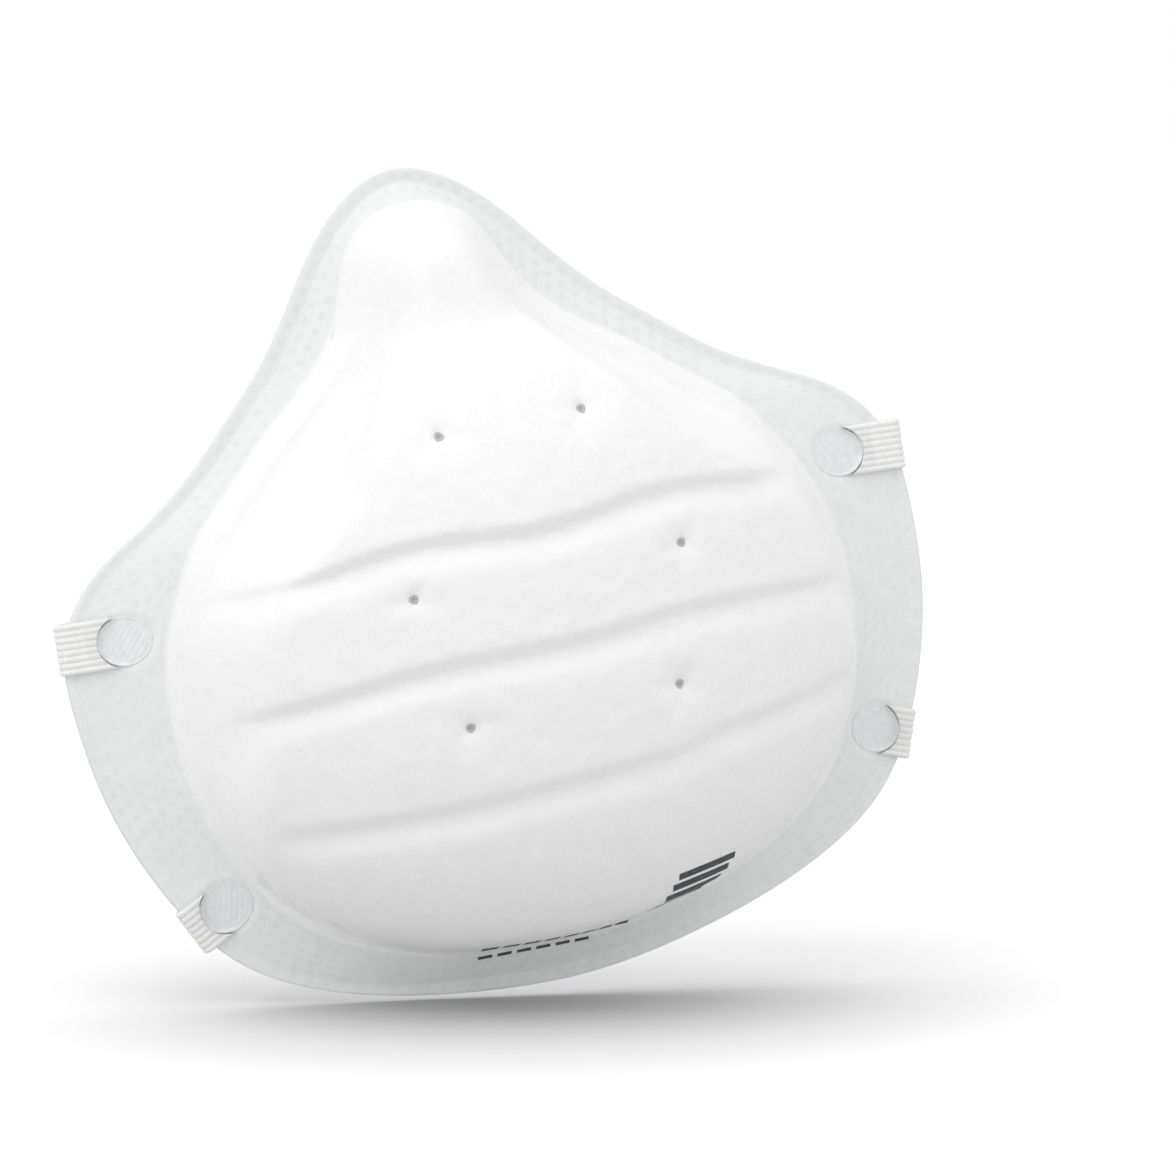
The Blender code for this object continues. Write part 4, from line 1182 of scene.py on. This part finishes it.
def headband(level, centre, degrees, askew, crown_y):
    """Two strap ends on the flange and one loop between them."""
    halves = []
    for side, sign in SIDES:
        rows = np.hstack(band_line(centre, degrees - sign * askew, crown_y))
        rows, lengths = smooth_line(rows, 0.5)
        points, widths = rows[:, :3], rows[:, 3:]
        after = np.where((points[:, 1] > SEAM_Y) & (lengths > 8))[0][0]
        past = lengths - lengths[after]
        # slight slack of a used elastic, none where it is fixed
        free = rise(4.0, 30.0, past) * (1 if level == "upper" else -1)
        free = free * fall(lengths[-1] - 12.0, lengths[-1], lengths)
        points[:, 2] += 0.6 * free * np.sin(past / 17.0 + sign)
        mirror = np.array([sign, 1, 1])
        points, widths = points * mirror, widths * mirror
        end = band_mesh(f"{level}_strap_end_{side}", points[: after + 1],
                        widths[: after + 1] * sign, lengths[: after + 1], hug_weld=True)
        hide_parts(f"{level}_band_end_{side}")
        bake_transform(end)
        halves.append((points[after:], widths[after:], past[after:]))
    (left, left_w, left_run), (right, right_w, right_run) = halves
    run = np.concatenate([left_run, left_run[-1] + right_run[-1] - right_run[-2::-1]])
    loop = band_mesh(f"{level}_strap_loop", np.vstack([left, right[-2::-1]]),
                     np.vstack([left_w, right_w[-2::-1]]), run)
    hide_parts(f"{level}_band_arm_left", f"{level}_band_arm_right", f"{level}_band_crown")
    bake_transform(loop)


for band in BANDS:
    headband(*band)


# ---- print
INK_OVER, INK_UNDER = 0.045, 0.03     # how far the ink stands out of the web and sinks in


def lean_of(x, z):
    """How much longer the web is here than its front view."""
    e = 0.3
    slope_x = (cover_y(x + e, z) - cover_y(x - e, z)) / (2 * e)
    slope_z = (cover_y(x, z + e) - cover_y(x, z - e)) / (2 * e)
    return min(math.sqrt(1 + slope_x * slope_x + slope_z * slope_z), 9.0)


def decal(name, bars):
    """Plain printed bars that follow the web: x, z, length, height, turn in degrees."""
    verts, faces = [], []
    for bar_x, bar_z, long, high, turn in bars:
        c, s = math.cos(math.radians(turn)), math.sin(math.radians(turn))
        nu, nv = max(2, int(long / 0.5)), max(2, int(high / 0.35))
        base, size = len(verts), (nu + 1) * (nv + 1)
        for out in (INK_OVER, -INK_UNDER):
            for i in range(nu + 1):
                for j in range(nv + 1):
                    u, v = (i / nu - 0.5) * long, (j / nv - 0.5) * high
                    x, z = bar_x + u * c - v * s, bar_z + u * s + v * c
                    verts.append((x * MM, (cover_y(x, z) - out * lean_of(x, z)) * MM, z * MM))

        def at(i, j, top):
            return base + (0 if top else size) + i * (nv + 1) + j

        for i in range(nu):
            for j in range(nv):
                faces.append((at(i, j, 1), at(i + 1, j, 1), at(i + 1, j + 1, 1), at(i, j + 1, 1)))
                faces.append((at(i, j, 0), at(i, j + 1, 0), at(i + 1, j + 1, 0), at(i + 1, j, 0)))
        for i in range(nu):
            faces.append((at(i, 0, 1), at(i, 0, 0), at(i + 1, 0, 0), at(i + 1, 0, 1)))
            faces.append((at(i, nv, 1), at(i + 1, nv, 1), at(i + 1, nv, 0), at(i, nv, 0)))
        for j in range(nv):
            faces.append((at(0, j, 1), at(0, j + 1, 1), at(0, j + 1, 0), at(0, j, 0)))
            faces.append((at(nu, j, 1), at(nu, j, 0), at(nu, j + 1, 0), at(nu, j + 1, 1)))
    ob = mesh_from(name, verts, faces, INK, smooth=False)
    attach(ob, "mask")


decal("print_bars", [(17.6 - 0.9 * k, -54.0 - 1.75 * k, 11.0, 1.15, 4.0) for k in range(4)])
# two rows of dashes: x and z of the first, and how many
decal("print_dashes", [(x + 3.3 * k, z - 0.28 * k, 2.4, 0.5, -4.0)
                       for x, z, count in ((-17.2, -59.4, 8), (-17.6, -60.9, 6))
                       for k in range(count)])


# ---- camera, in metres
def unit(v):
    return v / np.linalg.norm(v)


azimuth, elevation, roll = (math.radians(v) for v in (-12.66, 2.9, -14.27))
to_eye = np.array([math.sin(azimuth) * math.cos(elevation),
                   -math.cos(azimuth) * math.cos(elevation), math.sin(elevation)])
level_right = np.array([math.cos(azimuth), math.sin(azimuth), 0.0])
level_up = np.cross(to_eye, level_right)
view_right = math.cos(roll) * level_right + math.sin(roll) * level_up
view_up = -math.sin(roll) * level_right + math.cos(roll) * level_up
aim = (14.7 * view_right - 2.15 * view_up) * MM
eye = to_eye * 1.0
z_axis = unit(eye - aim)
x_axis = unit(view_right - z_axis * (view_right @ z_axis))
y_axis = np.cross(z_axis, x_axis)
camera = bpy.data.cameras.new("camera")
camera.sensor_width, camera.lens, camera.clip_start = 36.0, 187.1, 0.01
camera_ob = bpy.data.objects.new("camera", camera)
bpy.context.scene.collection.objects.link(camera_ob)
camera_ob.matrix_world = Matrix([(x_axis[i], y_axis[i], z_axis[i], eye[i]) for i in range(3)]
                                + [(0, 0, 0, 1)])
bpy.context.scene.camera = camera_ob


# ---- floor, in metres
def floor_material():
    """Pale sheet that glows a little to the camera only, with a painted contact shadow that greys it
    near the mask.
    """
    material, sh = new_material("pale_floor")
    mottle = sh.ramp(sh.noise(sh.coords(), scale=3.0, detail=3.0), low=0.3, high=0.7)
    seen = sh.node("ShaderNodeLightPath", "Is Camera Ray")
    pale = sh.mix(mottle, (0.79, 0.79, 0.80), (0.81, 0.81, 0.82))
    # painted contact shadow: ambient occlusion turns the floor's colour grey and dims its glow near
    # the mask
    near = sh.node("ShaderNodeAmbientOcclusion", "AO", {"Distance": 0.06}, samples=8)
    unshadowed = sh.calc("POWER", near, 1.0)
    pale = sh.mix(unshadowed, (0.30, 0.30, 0.305), pale)
    glow = sh.calc("MULTIPLY", sh.calc("MULTIPLY", seen, unshadowed), 0.16)
    sh.surface({
        "Base Color": sh.mix(seen, (0.68, 0.68, 0.685), pale), "Roughness": 0.9,
        "Specular IOR Level": 0.1, "Emission Color": (1, 1, 1, 1), "Emission Strength": glow})
    return material


FLOOR_SIZE, FLOOR_CELLS, FLOOR_DROP = 8.0, 40, 0.0008
LEAN = math.radians(6.0)              # the floor leans towards the camera
floor_up = unit(math.cos(LEAN) * view_up + math.sin(LEAN) * to_eye)
low = 1e9
for ob in (cover, liner):
    co = np.empty(len(ob.data.vertices) * 3)
    ob.data.vertices.foreach_get("co", co)
    low = min(low, float((co.reshape(-1, 3) @ floor_up).min()))
low -= FLOOR_DROP
floor_u = unit(view_right - floor_up * (view_right @ floor_up))
floor_v = np.cross(floor_up, floor_u)
ticks = [(i / FLOOR_CELLS - 0.5) * FLOOR_SIZE for i in range(FLOOR_CELLS + 1)]
verts = [floor_up * low + floor_u * a + floor_v * b for a in ticks for b in ticks]
row = FLOOR_CELLS + 1
corners = [i * row + j for i in range(FLOOR_CELLS) for j in range(FLOOR_CELLS)]
faces = [(k, k + row, k + row + 1, k + 1) for k in corners]
mesh_from("floor", verts, faces, floor_material())


# ---- light
def studio_world():
    """White to the camera, and slightly graded over the directions that light the mask."""
    world = bpy.data.worlds.new("studio")
    sh = Shader(world)
    toward = tuple(-unit(-0.75 * view_right + 0.65 * view_up + 0.25 * to_eye))
    incoming = sh.node("ShaderNodeNewGeometry", "Incoming")
    facing = sh.node("ShaderNodeVectorMath", "Value", {0: incoming, 1: toward},
                     operation="DOT_PRODUCT")
    graded = sh.calc("MULTIPLY_ADD", facing, 0.05, 0.93)
    seen = sh.node("ShaderNodeLightPath", "Is Camera Ray")
    strength = sh.node("ShaderNodeMix", 0, {0: seen, 2: graded, 3: 1.0})
    sh.feed(sh.tree.nodes["Background"], {"Color": (1.0, 1.0, 1.0, 1.0), "Strength": strength})
    return world


bpy.context.scene.world = studio_world()
bpy.context.scene.view_settings.view_transform = "Standard"


def place_light(name, data, direction, distance=0.0):
    """Put a light off in a direction, shining back at the origin."""
    ob = bpy.data.objects.new(name, data)
    direction = unit(direction)
    ob.location = Vector(direction * distance)
    ob.rotation_euler = Vector(direction).to_track_quat("Z", "Y").to_euler()
    bpy.context.scene.collection.objects.link(ob)


def lamp(name, direction, distance, size, energy):
    data = bpy.data.lights.new(name, "AREA")
    data.shape, data.size, data.energy = "DISK", size, energy
    place_light(name, data, direction, distance)


lamp("key", -0.62 * view_right + 0.80 * view_up + 0.55 * to_eye,
     distance=1.1, size=0.55, energy=0.6)
lamp("fill", 0.9 * view_right + 0.5 * view_up + 0.8 * to_eye, distance=1.4, size=0.9, energy=0.6)
sky = bpy.data.lights.new("skylight", "SUN")
sky.energy, sky.angle = 0.66, math.radians(62.0)
place_light("skylight", sky, -0.36 * view_right + 0.86 * view_up + 0.46 * to_eye)
